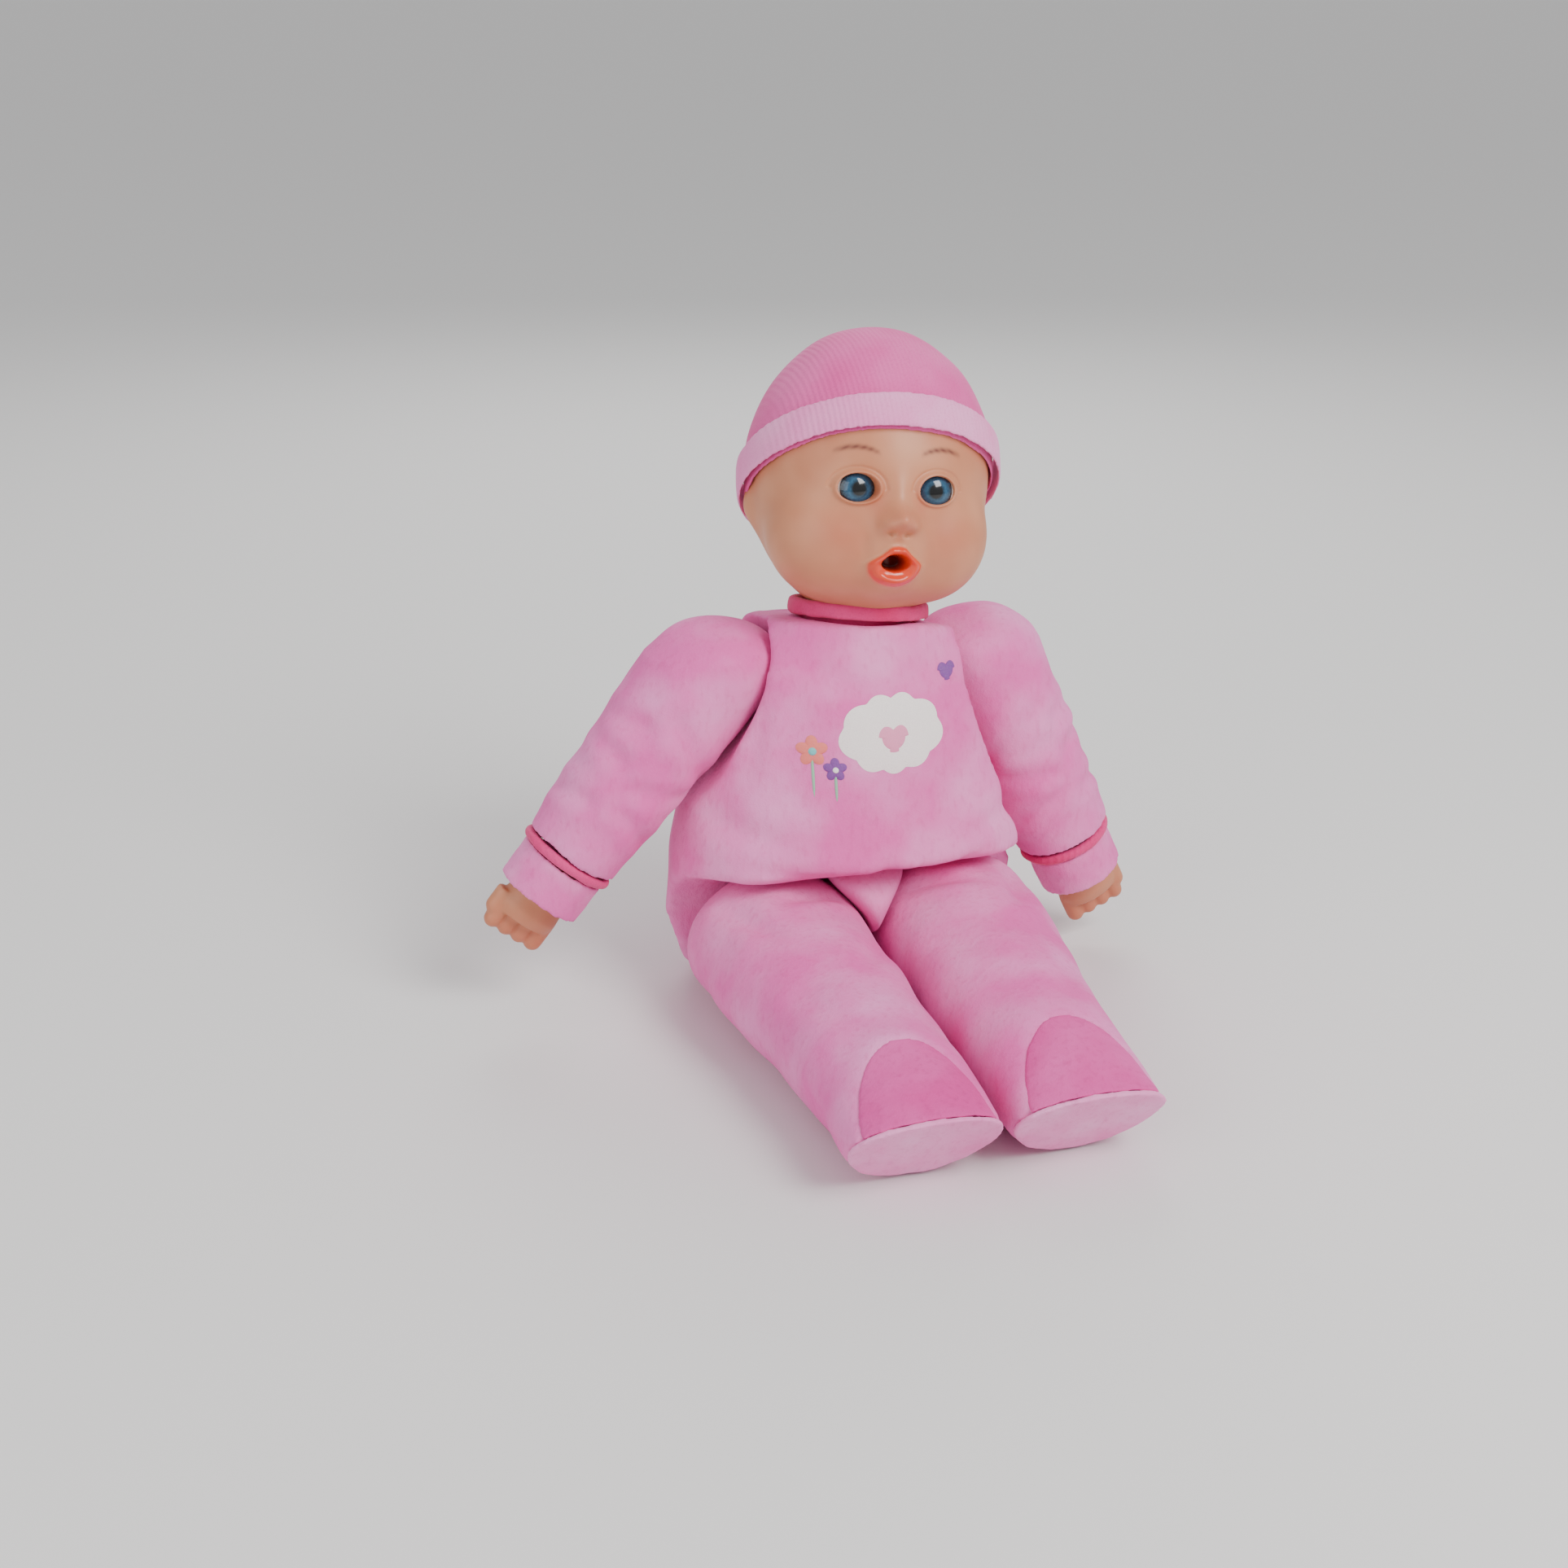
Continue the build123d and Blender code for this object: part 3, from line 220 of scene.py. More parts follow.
def eye_acrylic():
    """A glossy acrylic eye with a printed blue iris."""
    made, tree, shader = begin("eye_acrylic")
    ring = span(tree, attribute(tree, "ring"), 0.0, 10.0)
    ramp = add(tree, "ShaderNodeValToRGB", {0: ring})
    stops = [
        (0.0, "#020203"), (0.23, "#020304"), (0.26, "#0E2534"), (0.38, "#1F4E6B"),
        (0.5, "#153A55"), (0.58, "#0D1E2E"), (0.66, "#081018"), (0.7, "#E4DCD6"),
    ]
    while len(ramp.color_ramp.elements) < len(stops):
        ramp.color_ramp.elements.new(0.5)
    for stop, (place, code) in zip(ramp.color_ramp.elements, stops):
        stop.position = place
        stop.color = paint(code)
    fibres = span(tree, grain(tree, 0.9, 3.0), 0.45, 0.75, 0.0, 0.22)
    inside = span(tree, attribute(tree, "ring"), 2.4, 3.2)
    share = add(tree, "ShaderNodeMath", {0: fibres, 1: inside}, operation="MULTIPLY").outputs[0]
    iris = mix(tree, share, ramp.outputs[0], paint("#4E86A3"))
    tree.links.new(iris, shader.inputs["Base Color"])
    shader.inputs["Roughness"].default_value = 0.18
    shader.inputs["Coat Weight"].default_value = 0.7
    shader.inputs["Specular IOR Level"].default_value = 0.3
    shader.inputs["Coat Roughness"].default_value = 0.02
    return made


def moulded(name, code, rough, grain_mm=0.4, metal=0.0):
    """Moulded plastic or pressed metal, with a fine surface grain."""
    made, tree, shader = begin(name)
    spots = grain(tree, grain_mm, 2.0)
    worn = span(tree, grain(tree, 9.0), 0.4, 0.7, 0.0, 0.12)
    tree.links.new(mix(tree, worn, paint(code), paint("#EDEDED")), shader.inputs["Base Color"])
    tree.links.new(span(tree, spots, 0.3, 0.7, rough - 0.06, rough + 0.06),
                   shader.inputs["Roughness"])
    tree.links.new(bumps(tree, spots, 0.02), shader.inputs["Normal"])
    shader.inputs["Metallic"].default_value = metal
    return made


def printed(name, code):
    """A soft flocked transfer print."""
    made, tree, shader = begin(name)
    fluff = grain(tree, 0.5, 3.0)
    shade = mix(tree, span(tree, fluff, 0.3, 0.8, 0.0, 0.18), paint(code), paint("#B9A0AE"))
    tree.links.new(shade, shader.inputs["Base Color"])
    tree.links.new(bumps(tree, fluff, 0.12), shader.inputs["Normal"])
    shader.inputs["Roughness"].default_value = 0.75
    return made


# ---- Shaping ----------------------------------------------------------------------------------


def read(bm):
    """A mesh's points in millimetres."""
    return np.array([v.co for v in bm.verts], float) / MM


def write(bm, points):
    """Puts millimetre points back into a mesh."""
    for vert, point in zip(bm.verts, np.asarray(points, float) * MM):
        vert.co = point


def finish_piece(bm, name, material, body, nodes=(), values=None):
    """A smooth piece from a mesh, painted, riding on its body and standing for CAD nodes."""
    bmesh.ops.recalc_face_normals(bm, faces=bm.faces)
    mesh = bpy.data.meshes.new(name)
    bm.to_mesh(mesh)
    bm.free()
    for key, numbers in (values or {}).items():
        layer = mesh.attributes.new(key, "FLOAT", "POINT")
        layer.data.foreach_set("value", np.asarray(numbers, np.float32))
    mesh.shade_smooth()
    piece = bpy.data.objects.new(name, mesh)
    bpy.context.scene.collection.objects.link(piece)
    mesh.materials.append(material)
    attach(piece, body)
    if nodes:
        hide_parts(*nodes)
    return piece


def soft_copy(nodes, voxel_mm, rounds):
    """One soft skin round some CAD solids: remeshed evenly, then rubbed smooth."""
    bm = bmesh.new()
    for node in nodes:
        bm.from_mesh(frame["nodes"][node].data)
    raw = bpy.data.meshes.new("raw")
    bm.to_mesh(raw)
    bm.free()
    holder = bpy.data.objects.new("raw", raw)
    bpy.context.scene.collection.objects.link(holder)
    skin = holder.modifiers.new("skin", "REMESH")
    skin.mode = "VOXEL"
    skin.voxel_size = voxel_mm * MM
    graph = bpy.context.evaluated_depsgraph_get()
    even = bpy.data.meshes.new_from_object(holder.evaluated_get(graph))
    bpy.data.objects.remove(holder)
    made = bmesh.new()
    made.from_mesh(even)
    keep_outside(made)
    for _ in range(rounds):
        bmesh.ops.smooth_vert(made, verts=made.verts, factor=0.5,
                              use_axis_x=True, use_axis_y=True, use_axis_z=True)
    made.normal_update()
    return made


def keep_outside(bm):
    """Keeps only the largest joined island, so no skin is left inside another."""
    left, best = set(bm.verts), []
    while left:
        island, edge = set(), [next(iter(left))]
        while edge:
            vert = edge.pop()
            if vert in island:
                continue
            island.add(vert)
            edge.extend(e.other_vert(vert) for e in vert.link_edges)
        left -= island
        if len(island) > len(best):
            best = island
    bmesh.ops.delete(bm, geom=[v for v in bm.verts if v not in best], context="VERTS")


def creases(points, lines):
    """How far each point sinks or swells beside the fold lines, in millimetres."""
    moved = np.zeros(len(points))
    for start, end, width, depth in lines:
        start, end = np.array(start, float), np.array(end, float)
        along = end - start
        share = np.clip((points - start) @ along / (along @ along), 0, 1)
        away = np.linalg.norm(points - start - share[:, None] * along, axis=1)
        ends = np.sin(np.pi * np.clip(share * 0.9 + 0.05, 0, 1)) ** 0.5
        valley = np.exp(-((away / width) ** 2))
        swell = 0.45 * np.exp(-(((away - 2.1 * width) / (1.1 * width)) ** 2))
        moved += depth * ends * (swell - valley)
    return moved


def ruffle(bm, lines=(), lumps=0.0, lump_mm=22.0, seed=0.0):
    """Gives stuffed cloth its folds and soft lumps, along the cloth's own normals."""
    points = read(bm)
    normals = np.array([v.normal for v in bm.verts])
    moved = creases(points, lines)
    if lumps:
        at = [noise.noise(Vector(p) / lump_mm + Vector((seed, 0, 0))) for p in points]
        moved += lumps * np.array(at)
    write(bm, points + normals * moved[:, None])


# ---- Sizes and colours ------------------------------------------------------------------------


class DollSizes(bpy.types.PropertyGroup):
    """The sizes of the doll's soft work."""

    voxel: bpy.props.FloatProperty(
        name="Cloth mesh", description="Spacing of the suit's mesh", default=0.0018,
        subtype="DISTANCE", unit="LENGTH")
    lumps: bpy.props.FloatProperty(
        name="Stuffing lumps", description="How far the stuffing shows through", default=0.0012,
        subtype="DISTANCE", unit="LENGTH")
    nose: bpy.props.FloatProperty(
        name="Nose", description="How far the nose stands out", default=0.0084,
        subtype="DISTANCE", unit="LENGTH")
    lip: bpy.props.FloatProperty(
        name="Lips", description="How far the lips stand out", default=0.0026,
        subtype="DISTANCE", unit="LENGTH")


class DollColours(bpy.types.PropertyGroup):
    """The colours of the doll's clothes, as hex codes."""

    suit: bpy.props.StringProperty(
        name="Suit", description="The velour's middle colour", default="#E85FAE")
    suit_light: bpy.props.StringProperty(
        name="Brushed suit", description="The velour where it is brushed up", default="#F08FC8")
    binding: bpy.props.StringProperty(
        name="Binding", description="The neck binding", default="#CC0F60")


SHARED = {}


def suit_material():
    """The suit's velour, made once for every piece that is cut from it."""
    colours = bpy.context.scene.doll_colours
    if "suit" not in SHARED:
        SHARED["suit"] = velour("suit_velour", colours.suit, colours.suit_light, "#C83C84")
    return SHARED["suit"]


def skin_material():
    """The skin's vinyl, made once for the head and the hands."""
    if "skin" not in SHARED:
        SHARED["skin"] = skin_vinyl()
    return SHARED["skin"]


# ---- Pieces -----------------------------------------------------------------------------------


class DOLL_OT_torso(bpy.types.Operator):
    """Sews the suit's body over its stuffing, with the folds of a sitting doll"""

    bl_idname = "doll.torso"
    bl_label = "Suit body"

    def execute(self, context):
        sizes = context.scene.doll_sizes
        bm = soft_copy(("torso_stuffing", "suit_front", "suit_back"), sizes.voxel / MM, 5)
        lines = [
            (from_shoulders(a), from_shoulders(b), width, depth)
            for a, b, width, depth in (
                ((-58, -38, 68), (-12, -54, 60), 4.0, 2.2),
                ((60, -36, 66), (16, -54, 59), 4.0, 2.0),
                ((-66, -22, 84), (-34, -48, 74), 5.0, 1.6),
                ((66, -20, 80), (38, -46, 72), 5.0, 1.6),
                ((-44, -28, 134), (-52, -32, 104), 4.0, 2.0),
                ((44, -28, 132), (54, -32, 100), 4.0, 2.0),
                ((-30, -34, 146), (-6, -40, 134), 5.0, 1.2),
                ((30, -34, 146), (10, -40, 136), 5.0, 1.2),
                ((0, -52, 62), (0, -46, 46), 4.0, 2.6),
            )
        ]
        ruffle(bm, lines, sizes.lumps / MM, 24.0)
        piece = finish_piece(bm, "suit_body", suit_material(), "torso",
                             ("torso_stuffing", "suit_front", "suit_back"))
        return {"FINISHED"}


class DOLL_OT_limbs(bpy.types.Operator):
    """Sews the sleeves and the footed trouser legs over their stuffing"""

    bl_idname = "doll.limbs"
    bl_label = "Sleeves and legs"

    def execute(self, context):
        sizes = context.scene.doll_sizes
        for side, sign in (("left", 1), ("right", -1)):
            self.sleeve(side, sign, sizes)
            self.leg(side, sign, sizes)
        return {"FINISHED"}

    def sleeve(self, side, sign, sizes):
        """One stuffed sleeve, with slanting folds round its front."""
        shoulder = np.array(joint_of(side + "_shoulder_swing")["pos_m"]) / MM
        down = np.array(joint_of(side + "_hand_turn")["axis"])
        if down[2] > 0:
            down = -down
        inner = np.cross(down, (0, 1, 0)) * sign
        front = np.array((0.0, -1.0, 0.0))
        lines = []
        for along, width, depth, slant in ((34, 3.6, 2.0, 8), (52, 3.4, 1.8, -7), (70, 3.2, 1.6, 5)):
            middle = shoulder + down * along
            lines.append((middle + 22 * front + 6 * inner - slant * down,
                          middle + 10 * front - 22 * inner + slant * down, width, depth))
            lines.append((middle + 20 * front + 12 * inner,
                          middle - 8 * front + 22 * inner + slant * down, width, depth))
        bm = soft_copy((side + "_sleeve", side + "_arm_stuffing"), 1.1, 8)
        p = read(bm)
        over = np.clip(p[:, 2] - shoulder[2] - 4, 0, None)
        p[:, 2] -= 0.42 * over
        write(bm, p)
        bm.normal_update()
        ruffle(bm, lines, sizes.lumps / MM, 18.0, 5.0 * sign)
        piece = finish_piece(bm, side + "_sleeve_cloth", suit_material(), side + "_arm",
                             (side + "_sleeve", side + "_arm_stuffing"))

    def leg(self, side, sign, sizes):
        """One stuffed leg, with folds at the hip and behind the ankle."""
        lines = [
            (from_shoulders((sign * a[0], a[1], a[2])), from_shoulders((sign * b[0], b[1], b[2])),
             width, depth)
            for a, b, width, depth in (
                ((8, -32, 50), (40, -44, 57), 4.0, 1.6),
                ((60, -30, 48), (50, -62, 52), 4.0, 1.8),
                ((10, -70, 44), (24, -96, 50), 4.5, 1.2),
                ((52, -104, 44), (40, -134, 50), 4.5, 1.2),
            )
        ]
        nodes = (side + "_leg_stuffing", side + "_trouser_leg")
        bm = soft_copy(nodes, sizes.voxel / MM, 4)
        ruffle(bm, lines, sizes.lumps / MM, 22.0, 9.0 * sign)
        piece = finish_piece(bm, side + "_leg_cloth", suit_material(), side + "_leg", nodes)


class DOLL_OT_trims(bpy.types.Operator):
    """Sews the cuffs, their piping, the neck binding, the feet and the back flap"""

    bl_idname = "doll.trims"
    bl_label = "Trims"

    def execute(self, context):
        colours = context.scene.doll_colours
        piping = knitted("piping_jersey", "#D8206E", "#E03A82", 1.2, "#A0124C")
        cuff = velour("cuff_velour", "#EA66B2", "#F297CC", "#C83C84")
        binding = knitted("neck_rib", colours.binding, "#DF3A80", 2.0, "#A81450")
        patch = velour("foot_velour", "#D83C93", "#E259A6", "#A82568")
        sole = velour("sole_velour", "#EE7DBB", "#F4A2D2", "#CE4C8E")
        trims = [("neck_binding", "neck_binding_cloth", binding, "torso", "rib_hot_pink", 1.0)]
        for side in ("left", "right"):
            arm, leg = side + "_arm", side + "_leg"
            trims += [
                (side + "_cuff_piping", side + "_piping", piping, arm, "rib_hot_pink", 0.7),
                (side + "_cuff", side + "_cuff_cloth", cuff, arm, "velour", 0.9),
                (side + "_foot_top", side + "_foot_patch", patch, leg, "foot_pink", 0.7),
                (side + "_foot_sole", side + "_sole_cloth", sole, leg, "velour_light", 0.7),
            ]
        for node, name, material, body, slot_name, voxel in trims:
            bm = soft_copy((node,), voxel, 3)
            ruffle(bm, (), 0.35, 7.0)
            if node == "neck_binding":
                self.raise_binding(bm)
            finish_piece(bm, name, material, body, (node,))
        bm = soft_copy(("back_flap",), 0.8, 3)
        ruffle(bm, (), 0.4, 16.0)
        flap = finish_piece(bm, "back_flap_cloth", suit_material(), "back_flap", ("back_flap",))
        self.gusset()
        return {"FINISHED"}

    def raise_binding(self, bm):
        """Draws the top of the binding up and in, so that it hugs the neck."""
        p = read(bm)
        high = (p - NECK) @ UP
        share = (high - high.min()) / (high.max() - high.min())
        round_neck = (p - NECK) - high[:, None] * UP
        write(bm, p + 2.4 * share[:, None] * UP - 0.05 * share[:, None] * round_neck)

    def gusset(self):
        """The cloth of the crotch, which sinks to a V between the thighs."""
        bm = bmesh.new()
        bmesh.ops.create_uvsphere(bm, u_segments=72, v_segments=48, radius=1.0)
        p = np.array([v.co for v in bm.verts], float)
        up = 44 + 14 * p[:, 2]
        room = np.sqrt(np.clip(1 - ((up - 28) / 28.6) ** 2, 0, 1))
        half = np.clip(37 - 35.4 * room, 0.6, 26)
        p = np.stack((p[:, 0] * half, -22 + 21 * p[:, 1], up), axis=1)
        write(bm, from_shoulders(p))
        finish_piece(bm, "crotch_gusset", suit_material(), "torso", ())


class DOLL_OT_head(bpy.types.Operator):
    """Moulds and paints the vinyl head"""

    bl_idname = "doll.head"
    bl_label = "Head"

    eye_side = 14.8
    eye_up = -3.3
    mouth_up = -30.5

    def outline(self, rays):
        """The head's main forms, run into each other, as points."""
        start = np.array((0.0, -4.0, -4.0))
        forms = (
            ((0, 0, 0), (45.5, 46.5, 54)),
            ((0, -14, -20), (27, 34, 27)),
            ((17, -17, -21), (25, 25, 25)),
            ((-17, -17, -21), (25, 25, 25)),
            ((0, 4, -46), (18.5, 18.5, 22)),
        )
        total = np.zeros(len(rays))
        for middle, radii in forms:
            radii = np.array(radii, float)
            q, d = (start - np.array(middle)) / radii, rays / radii
            a, b, c = (d * d).sum(1), d @ q, q @ q - 1
            inside = b * b - a * c
            reach = np.where(inside > 0, (-b + np.sqrt(np.maximum(inside, 0))) / a, 0)
            total += np.exp(0.6 * np.maximum(reach, 0))
        return start + rays * (np.log(total) / 0.6)[:, None]

    def execute(self, context):
        sizes = context.scene.doll_sizes
        bm = bmesh.new()
        bmesh.ops.create_icosphere(bm, subdivisions=7, radius=1.0)
        face = [e for e in bm.edges
                if all(v.co.y < -0.72 and -0.72 < v.co.z < 0.42 for v in e.verts)]
        bmesh.ops.subdivide_edges(bm, edges=face, cuts=1, use_grid_fill=True)
        bmesh.ops.triangulate(bm, faces=[f for f in bm.faces if len(f.verts) > 3])
        rays = np.array([v.co for v in bm.verts], float)
        rays /= np.linalg.norm(rays, axis=1)[:, None]
        p = self.outline(rays)
        x, z = p[:, 0], p[:, 2]
        front = np.clip((-p[:, 1] - 8) / 16, 0, 1)

        def bump(side, up, wide, high):
            return np.exp(-(((x - side) / wide) ** 2) - ((z - up) / high) ** 2)

        out = sizes.nose / MM * bump(0, -13.6, 5.4, 5.0)
        out += 2.0 * bump(0, -5.5, 4.4, 7.0)
        out += 3.4 * bump(0, -41, 9.0, 7.0)
        out += 2.6 * (bump(5.4, -15.6, 2.8, 2.8) + bump(-5.4, -15.6, 2.8, 2.8))
        out -= 2.2 * (bump(2.9, -18.9, 1.6, 1.1) + bump(-2.9, -18.6, 1.5, 1.0))
        out -= 0.8 * bump(0, -22.5, 1.8, 3.2)
        out += 1.5 * (bump(19, -22, 10, 9) + bump(-19, -22, 10, 9))
        out -= 1.1 * (bump(11.5, -24, 2.6, 5.0) + bump(-11.5, -24, 2.6, 5.0))
        for side in (-1, 1):
            ex, ez = (x - side * self.eye_side), z - self.eye_up
            out -= 1.6 * np.exp(-((ex / 9.5) ** 2) - ((ez / 8.0) ** 2))
            lid = np.sqrt((ex / 6.9) ** 2 + (ez / np.where(ez > 0, 5.4, 4.7)) ** 2)
            out += 1.5 * np.exp(-(((lid - 1.12) / 0.14) ** 2))
            out -= 0.5 * np.exp(-(((lid - 1.45) / 0.1) ** 2)) * (ez > 0)
            out -= 4.6 * np.clip((1.04 - lid) / 0.1, 0, 1)
        lift = z - self.mouth_up
        bow = 0.9 * np.exp(-((np.abs(x) - 2.6) / 2.0) ** 2) * (lift > 0)
        peak = np.where(lift > 0, 5.4 - 0.32 * np.abs(x), 6.0)
        q = np.sqrt((x / 7.8) ** 2 + ((lift - bow) / peak) ** 2)
        out += sizes.lip / MM * np.exp(-(((q - 1.0) / 0.3) ** 2))
        out += 0.9 * bump(0, self.mouth_up - 4.6, 4.6, 1.9)
        gape = np.sqrt((x / 5.0) ** 2 + ((lift - 0.9) / 3.1) ** 2)
        out -= 9.0 * np.clip((1.1 - gape) / 0.4, 0, 1)
        p[:, 1] -= front * out
        ears = sum(np.exp(-(((p - np.array((s * 45, 4, -15))) / (6, 5, 9)) ** 2).sum(1))
                   for s in (-1, 1))
        p[:, 0] += np.sign(x) * 3.4 * ears
        ahead = (p[:, 1] < -20)
        lips = ahead * np.clip((1.38 - q) / 0.14, 0, 1)
        # Mask of the mouth's opening, which the skin paints dark as painted shade of the recess.
        mouth_shade = ahead * np.clip((0.95 - gape) / 0.3, 0, 1)
        brow = np.zeros(len(p))
        for side in (-1, 1):
            ex = x * side - self.eye_side
            arc = 11.6 - 0.03 * (ex - 1) ** 2
            ends = np.clip(1 - (np.abs(ex - 1) / 8.6) ** 4, 0, 1)
            hairs = 0.85 + 0.15 * np.sin(ex * 2.1 + z * 2.0)
            brow += np.exp(-(((z - arc) / 0.95) ** 2)) * ends * hairs
        blush = 0.34 * (bump(21, -20, 11, 9) + bump(-21, -20, 11, 9)) + 0.3 * bump(0, -14, 6, 5)
        for side in (-1, 1):
            blush += 0.34 * np.exp(-((x - side * 8.6) / 3.4) ** 2 - ((z + 6) / 7) ** 2)
        write(bm, from_head(p))
        finish_piece(
            bm, "head_skin", skin_material(), "head", ("head_shell",),
            {"lip": lips, "mouth_shade": mouth_shade, "brow": brow * ahead,
                           "blush": blush * ahead})
        return {"FINISHED"}


class DOLL_OT_eyes(bpy.types.Operator):
    """Sets the two acrylic eyes"""

    bl_idname = "doll.eyes"
    bl_label = "Eyes"

    radius = 9.5
    place = (14.5, -33.8, -3.3)

    def execute(self, context):
        acrylic = eye_acrylic()
        for side, sign in (("left", 1), ("right", -1)):
            bm = bmesh.new()
            bmesh.ops.create_uvsphere(bm, u_segments=96, v_segments=64, radius=1.0)
            p = np.array([v.co for v in bm.verts], float)
            p = np.stack((p[:, 0], -p[:, 2], p[:, 1]), axis=1) * self.radius
            ring = np.where(p[:, 1] < 0, np.hypot(p[:, 0], p[:, 2]), self.radius)
            write(bm, from_head(p + np.array(self.place) * (sign, 1, 1)))
            finish_piece(bm, side + "_eye", acrylic, "head",
                         tuple(side + "_eye_" + k for k in ("globe", "iris", "cornea")),
                         {"ring": ring})
        return {"FINISHED"}


class DOLL_OT_hat(bpy.types.Operator):
    """Sews the jersey hat and its folded brim"""

    bl_idname = "doll.hat"
    bl_label = "Hat"

    def execute(self, context):
        jersey = knitted("hat_jersey", "#DE4496", "#E65EA6", 0.9, "#B02A6C")
        fold = knitted("brim_jersey", "#EE7EBC", "#F39BCD", 0.9, "#CF4F92")
        for node, name, cloth, slot_name, bulge in (
            ("hat_crown", "hat_crown_cloth", jersey, "knit", 0.5),
            ("hat_cuff", "hat_brim_cloth", fold, "knit_light", 0.3),
        ):
            bm = soft_copy((node,), 0.8, 6)
            ruffle(bm, (), bulge, 15.0)
            if node == "hat_cuff":
                rolled = read(bm)
                away = rolled - HEAD
                write(bm, rolled + 1.7 * away / np.linalg.norm(away, axis=1)[:, None])
            finish_piece(bm, name, cloth, "head", (node,))
        return {"FINISHED"}


class DOLL_OT_hands(bpy.types.Operator):
    """Moulds the vinyl hands"""

    bl_idname = "doll.hands"
    bl_label = "Hands"

    def execute(self, context):
        for side in ("left", "right"):
            bm = soft_copy((side + "_hand",), 0.6, 6)
            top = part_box(side + "_hand")[1].z / MM
            tips = np.clip((top - read(bm)[:, 2]) / 40 - 0.45, 0, 0.45)
            nothing = np.zeros(len(bm.verts))
            finish_piece(bm, side + "_hand_skin", skin_material(), side + "_hand", (side + "_hand",),
                         {"blush": tips, "lip": nothing, "mouth_shade": nothing,
                                        "brow": nothing})
        return {"FINISHED"}


class DOLL_OT_motif(bpy.types.Operator):
    """Prints a plain cloud, hearts and flowers on the chest"""

    bl_idname = "doll.motif"
    bl_label = "Chest motif"

    def shape(self, name, middle, outline, material, lift, cloth):
        """One flat print laid on the cloth, from how far its edge reaches at each turn."""
        bm = bmesh.new()
        bmesh.ops.create_grid(bm, x_segments=96, y_segments=12, size=1.0)
        for vert in bm.verts:
            turn = (vert.co.x + 1) * math.pi
            share = (vert.co.y + 1) / 2
            reach = outline(turn) * share
            x, z = middle[0] + reach * math.sin(turn), middle[1] + reach * math.cos(turn)
            hit = cloth.ray_cast(Vector((x, -300, z)) * MM, Vector((0, 1, 0)))[0]
            y = hit.y / MM if hit else -60.0
            vert.co = Vector((x, y - lift * (1.15 - share**4), z)) * MM
        bmesh.ops.remove_doubles(bm, verts=bm.verts, dist=0.02 * MM)
        return finish_piece(bm, name, material, "torso", ())

    def execute(self, context):
        body = bpy.data.objects["suit_body"]
        bm = bmesh.new()
        bm.from_mesh(body.data)
        cloth = BVHTree.FromBMesh(bm)
        bm.free()
        white = printed("print_cream", "#FBF3EE")
        pink = printed("print_pink", "#EE8FB4")
        orange = printed("print_orange", "#EE7468")
        purple = printed("print_purple", "#7A3A93")
        teal = printed("print_teal", "#6CC3C0")
        green = printed("print_green", "#8FC6A0")

        def cloud(turn):
            wide = 1 / math.hypot(math.sin(turn) / 20.5, math.cos(turn) / 14.0)
            return wide + 1.9 * abs(math.sin(4.5 * turn)) - 0.8

        def heart(size):
            def reach(turn):
                s = math.sin(turn)
                top = math.cos(turn)
                return size * (1.0 - 0.42 * math.exp(-(turn_gap(turn) / 0.5) ** 2)
                               + 0.28 * abs(s) * (top > 0) + 0.2 * (top < -0.93))
            return reach

        def turn_gap(turn):
            return min(turn, 2 * math.pi - turn)

        def petals(size):
            return lambda turn: size * (0.66 + 0.4 * abs(math.cos(2.5 * turn)))

        def stem(size):
            return lambda turn: 1 / math.hypot(math.sin(turn) / 0.55, math.cos(turn) / size)

        pieces = [
            self.shape("motif_cloud", (4, 118), cloud, white, 0.55, cloth),
            self.shape("motif_heart", (4, 117), heart(5.6), pink, 1.0, cloth),
            self.shape("motif_small_heart", (29, 138), heart(3.2), purple, 0.6, cloth),
            self.shape("motif_stem_a", (-27, 104), stem(8.5), green, 0.4, cloth),
            self.shape("motif_flower_a", (-27, 113), petals(5.6), orange, 0.7, cloth),
            self.shape("motif_middle_a", (-27, 113), lambda t: 1.8, teal, 1.2, cloth),
            self.shape("motif_stem_b", (-19, 100), stem(6.0), green, 0.4, cloth),
            self.shape("motif_flower_b", (-19, 106), petals(4.2), purple, 0.7, cloth),
            self.shape("motif_middle_b", (-19, 106), lambda t: 1.3, white, 1.2, cloth),
        ]
        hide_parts("chest_patch")
        return {"FINISHED"}


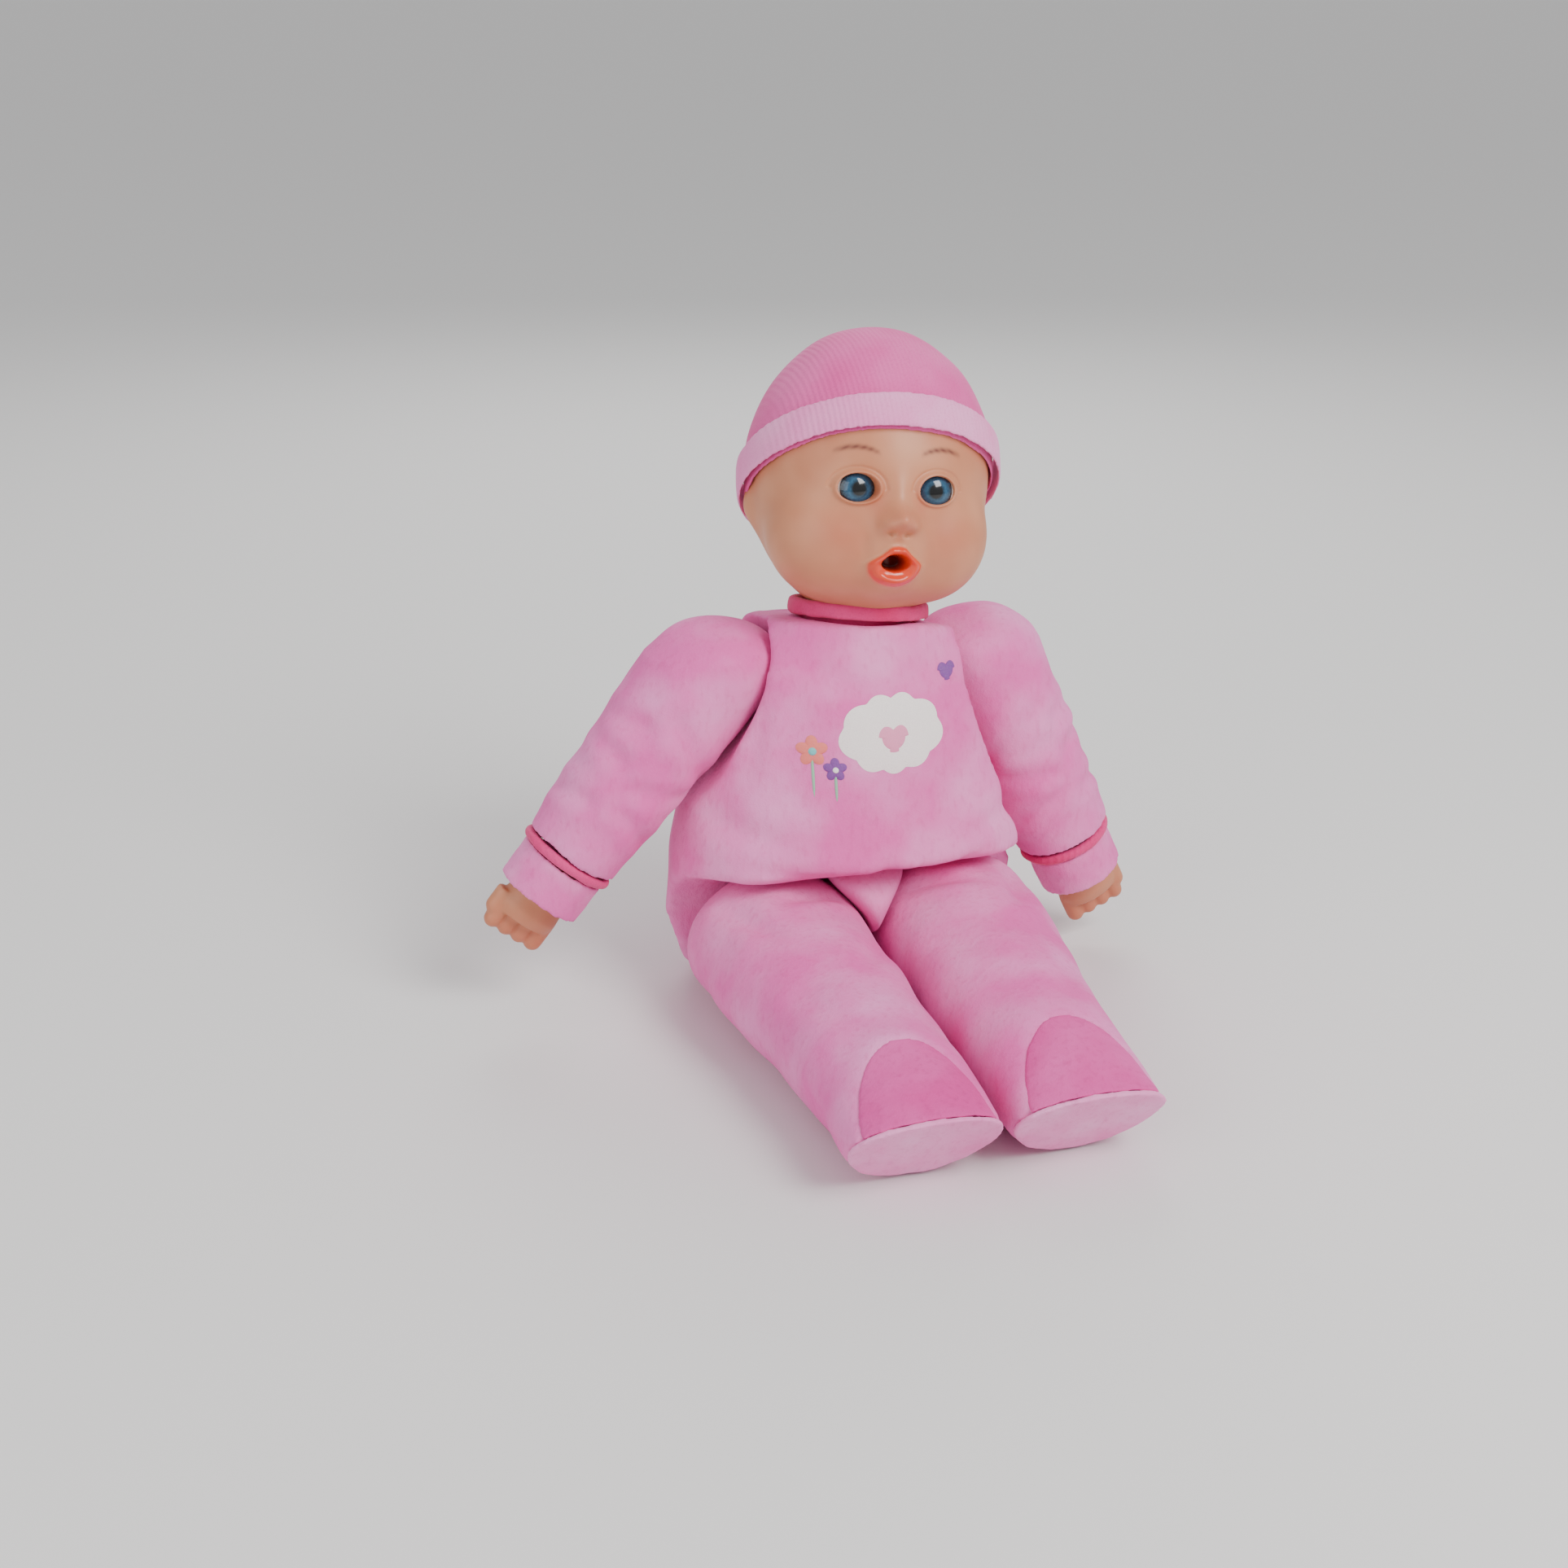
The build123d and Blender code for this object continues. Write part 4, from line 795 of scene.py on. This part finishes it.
class DOLL_OT_inside(bpy.types.Operator):
    """Finishes the sound box, its works and the fastenings that stay as the CAD has them"""

    bl_idname = "doll.inside"
    bl_label = "Inside"

    def execute(self, context):
        finishes = {
            "case_plastic": moulded("case_white_abs", "#E8E6E2", 0.45),
            "door_plastic": moulded("door_white_abs", "#DEDCD8", 0.5),
            "dark_plastic": moulded("black_abs", "#26272A", 0.42),
            "steel": moulded("zinc_steel", "#A9ADB1", 0.3, 0.8, 1.0),
            "cell": moulded("cell_wrap", "#3C6E57", 0.35, 1.0),
            "board": moulded("board_laminate", "#2E6B43", 0.5, 0.6),
            "cone": moulded("speaker_paper", "#2B2A29", 0.85, 0.5),
            "nylon": moulded("nylon_tie", "#EFEDE8", 0.5, 0.8),
            "tape": velour("hook_and_loop", "#EFE6EA", "#F7F1F3", "#CFC2C8", 0.2),
        }
        spare = moulded("plain_moulding", "#D8D4D0", 0.5)
        for name, obj in frame["nodes"].items():
            if obj.hide_render:
                continue
            obj.data.materials.clear()
            obj.data.materials.append(finishes.get(self.finish_of(name), spare))
        return {"FINISHED"}

    def finish_of(self, name):
        """The finish of a CAD node, from what the node is."""
        words = (
            ("tape", "tape"), ("tie", "nylon"), ("door_screw", "steel"), ("screws", "steel"),
            ("contacts", "steel"), ("cells", "cell"), ("board", "board"), ("cone", "cone"),
            ("magnet", "steel"), ("frame", "dark_plastic"), ("switch", "dark_plastic"),
            ("plunger", "dark_plastic"), ("slider", "dark_plastic"), ("button", "dark_plastic"),
            ("battery_door", "door_plastic"), ("sound_case", "case_plastic"),
        )
        return next((finish for word, finish in words if word in name), "case_plastic")


class DOLL_OT_stage(bpy.types.Operator):
    """Sets the floor, the lights and the camera"""

    bl_idname = "doll.stage"
    bl_label = "Stage"

    lens_mm = 48.97
    sensor_mm = 36
    camera_place = (-0.2577, -0.7568, 0.3894)
    camera_turn, camera_rise = -17, 21

    def execute(self, context):
        scene = context.scene
        bm = bmesh.new()
        bmesh.ops.create_grid(bm, x_segments=1, y_segments=1, size=30.0)
        mesh = bpy.data.meshes.new("floor")
        bm.to_mesh(mesh)
        bm.free()
        floor = bpy.data.objects.new("floor", mesh)
        scene.collection.objects.link(floor)
        pale, _, shader = begin("floor_paint")
        shader.inputs["Base Color"].default_value = paint("#E6E4E2")
        shader.inputs["Roughness"].default_value = 0.9
        mesh.materials.append(pale)
        world = bpy.data.worlds.new("studio")
        world.use_nodes = True
        world.node_tree.nodes["Background"].inputs[0].default_value = paint("#EFF0F2")
        world.node_tree.nodes["Background"].inputs[1].default_value = 0.75
        scene.world = world
        for name, place, size, power in (
            ("key", (0.55, -1.1, 1.15), 0.7, 22.0),
            ("fill", (-1.2, -0.7, 0.6), 1.0, 6.0),
            ("back", (0.3, 1.1, 1.0), 0.8, 7.0),
        ):
            lamp = bpy.data.lights.new(name, "AREA")
            lamp.energy = power
            lamp.size = size
            held = bpy.data.objects.new(name, lamp)
            held.location = place
            held.rotation_euler = (Vector((0, 0, 0.12)) - held.location).to_track_quat(
                "-Z", "Y").to_euler()
            scene.collection.objects.link(held)
        lens = bpy.data.cameras.new("camera")
        lens.lens = self.lens_mm
        lens.sensor_width = self.sensor_mm
        camera = bpy.data.objects.new("camera", lens)
        x, y, z = self.camera_place
        camera.location = (x, y + SHOULDER_Y * MM, z)
        turn, rise = math.radians(self.camera_turn), math.radians(self.camera_rise)
        back = Vector((math.sin(turn) * math.cos(rise), -math.cos(turn) * math.cos(rise),
                       math.sin(rise)))
        camera.rotation_euler = (-back).to_track_quat("-Z", "Y").to_euler()
        scene.collection.objects.link(camera)
        scene.camera = camera
        return {"FINISHED"}


class DOLL_PT_panel(bpy.types.Panel):
    """The doll's pieces and sizes"""

    bl_label = "Baby Doll"
    bl_idname = "DOLL_PT_panel"
    bl_space_type = "VIEW_3D"
    bl_region_type = "UI"
    bl_category = "Doll"

    def draw(self, context):
        for group in (context.scene.doll_sizes, context.scene.doll_colours):
            for key in group.__annotations__:
                self.layout.prop(group, key)
        for piece in PIECES:
            self.layout.operator(piece.bl_idname)


PIECES = (
    DOLL_OT_torso,
    DOLL_OT_limbs,
    DOLL_OT_trims,
    DOLL_OT_head,
    DOLL_OT_eyes,
    DOLL_OT_hat,
    DOLL_OT_hands,
    DOLL_OT_motif,
    DOLL_OT_inside,
    DOLL_OT_stage,
)


def register():
    for group in (DollSizes, DollColours, *PIECES, DOLL_PT_panel):
        bpy.utils.register_class(group)
    bpy.types.Scene.doll_sizes = bpy.props.PointerProperty(type=DollSizes)
    bpy.types.Scene.doll_colours = bpy.props.PointerProperty(type=DollColours)


def unregister():
    del bpy.types.Scene.doll_colours
    del bpy.types.Scene.doll_sizes
    for group in (DOLL_PT_panel, *reversed(PIECES), DollColours, DollSizes):
        bpy.utils.unregister_class(group)


def main():
    """Makes every piece in order."""
    register()
    for piece in PIECES:
        family, step = piece.bl_idname.split(".")
        getattr(getattr(bpy.ops, family), step)()


if __name__ == "__main__":
    main()
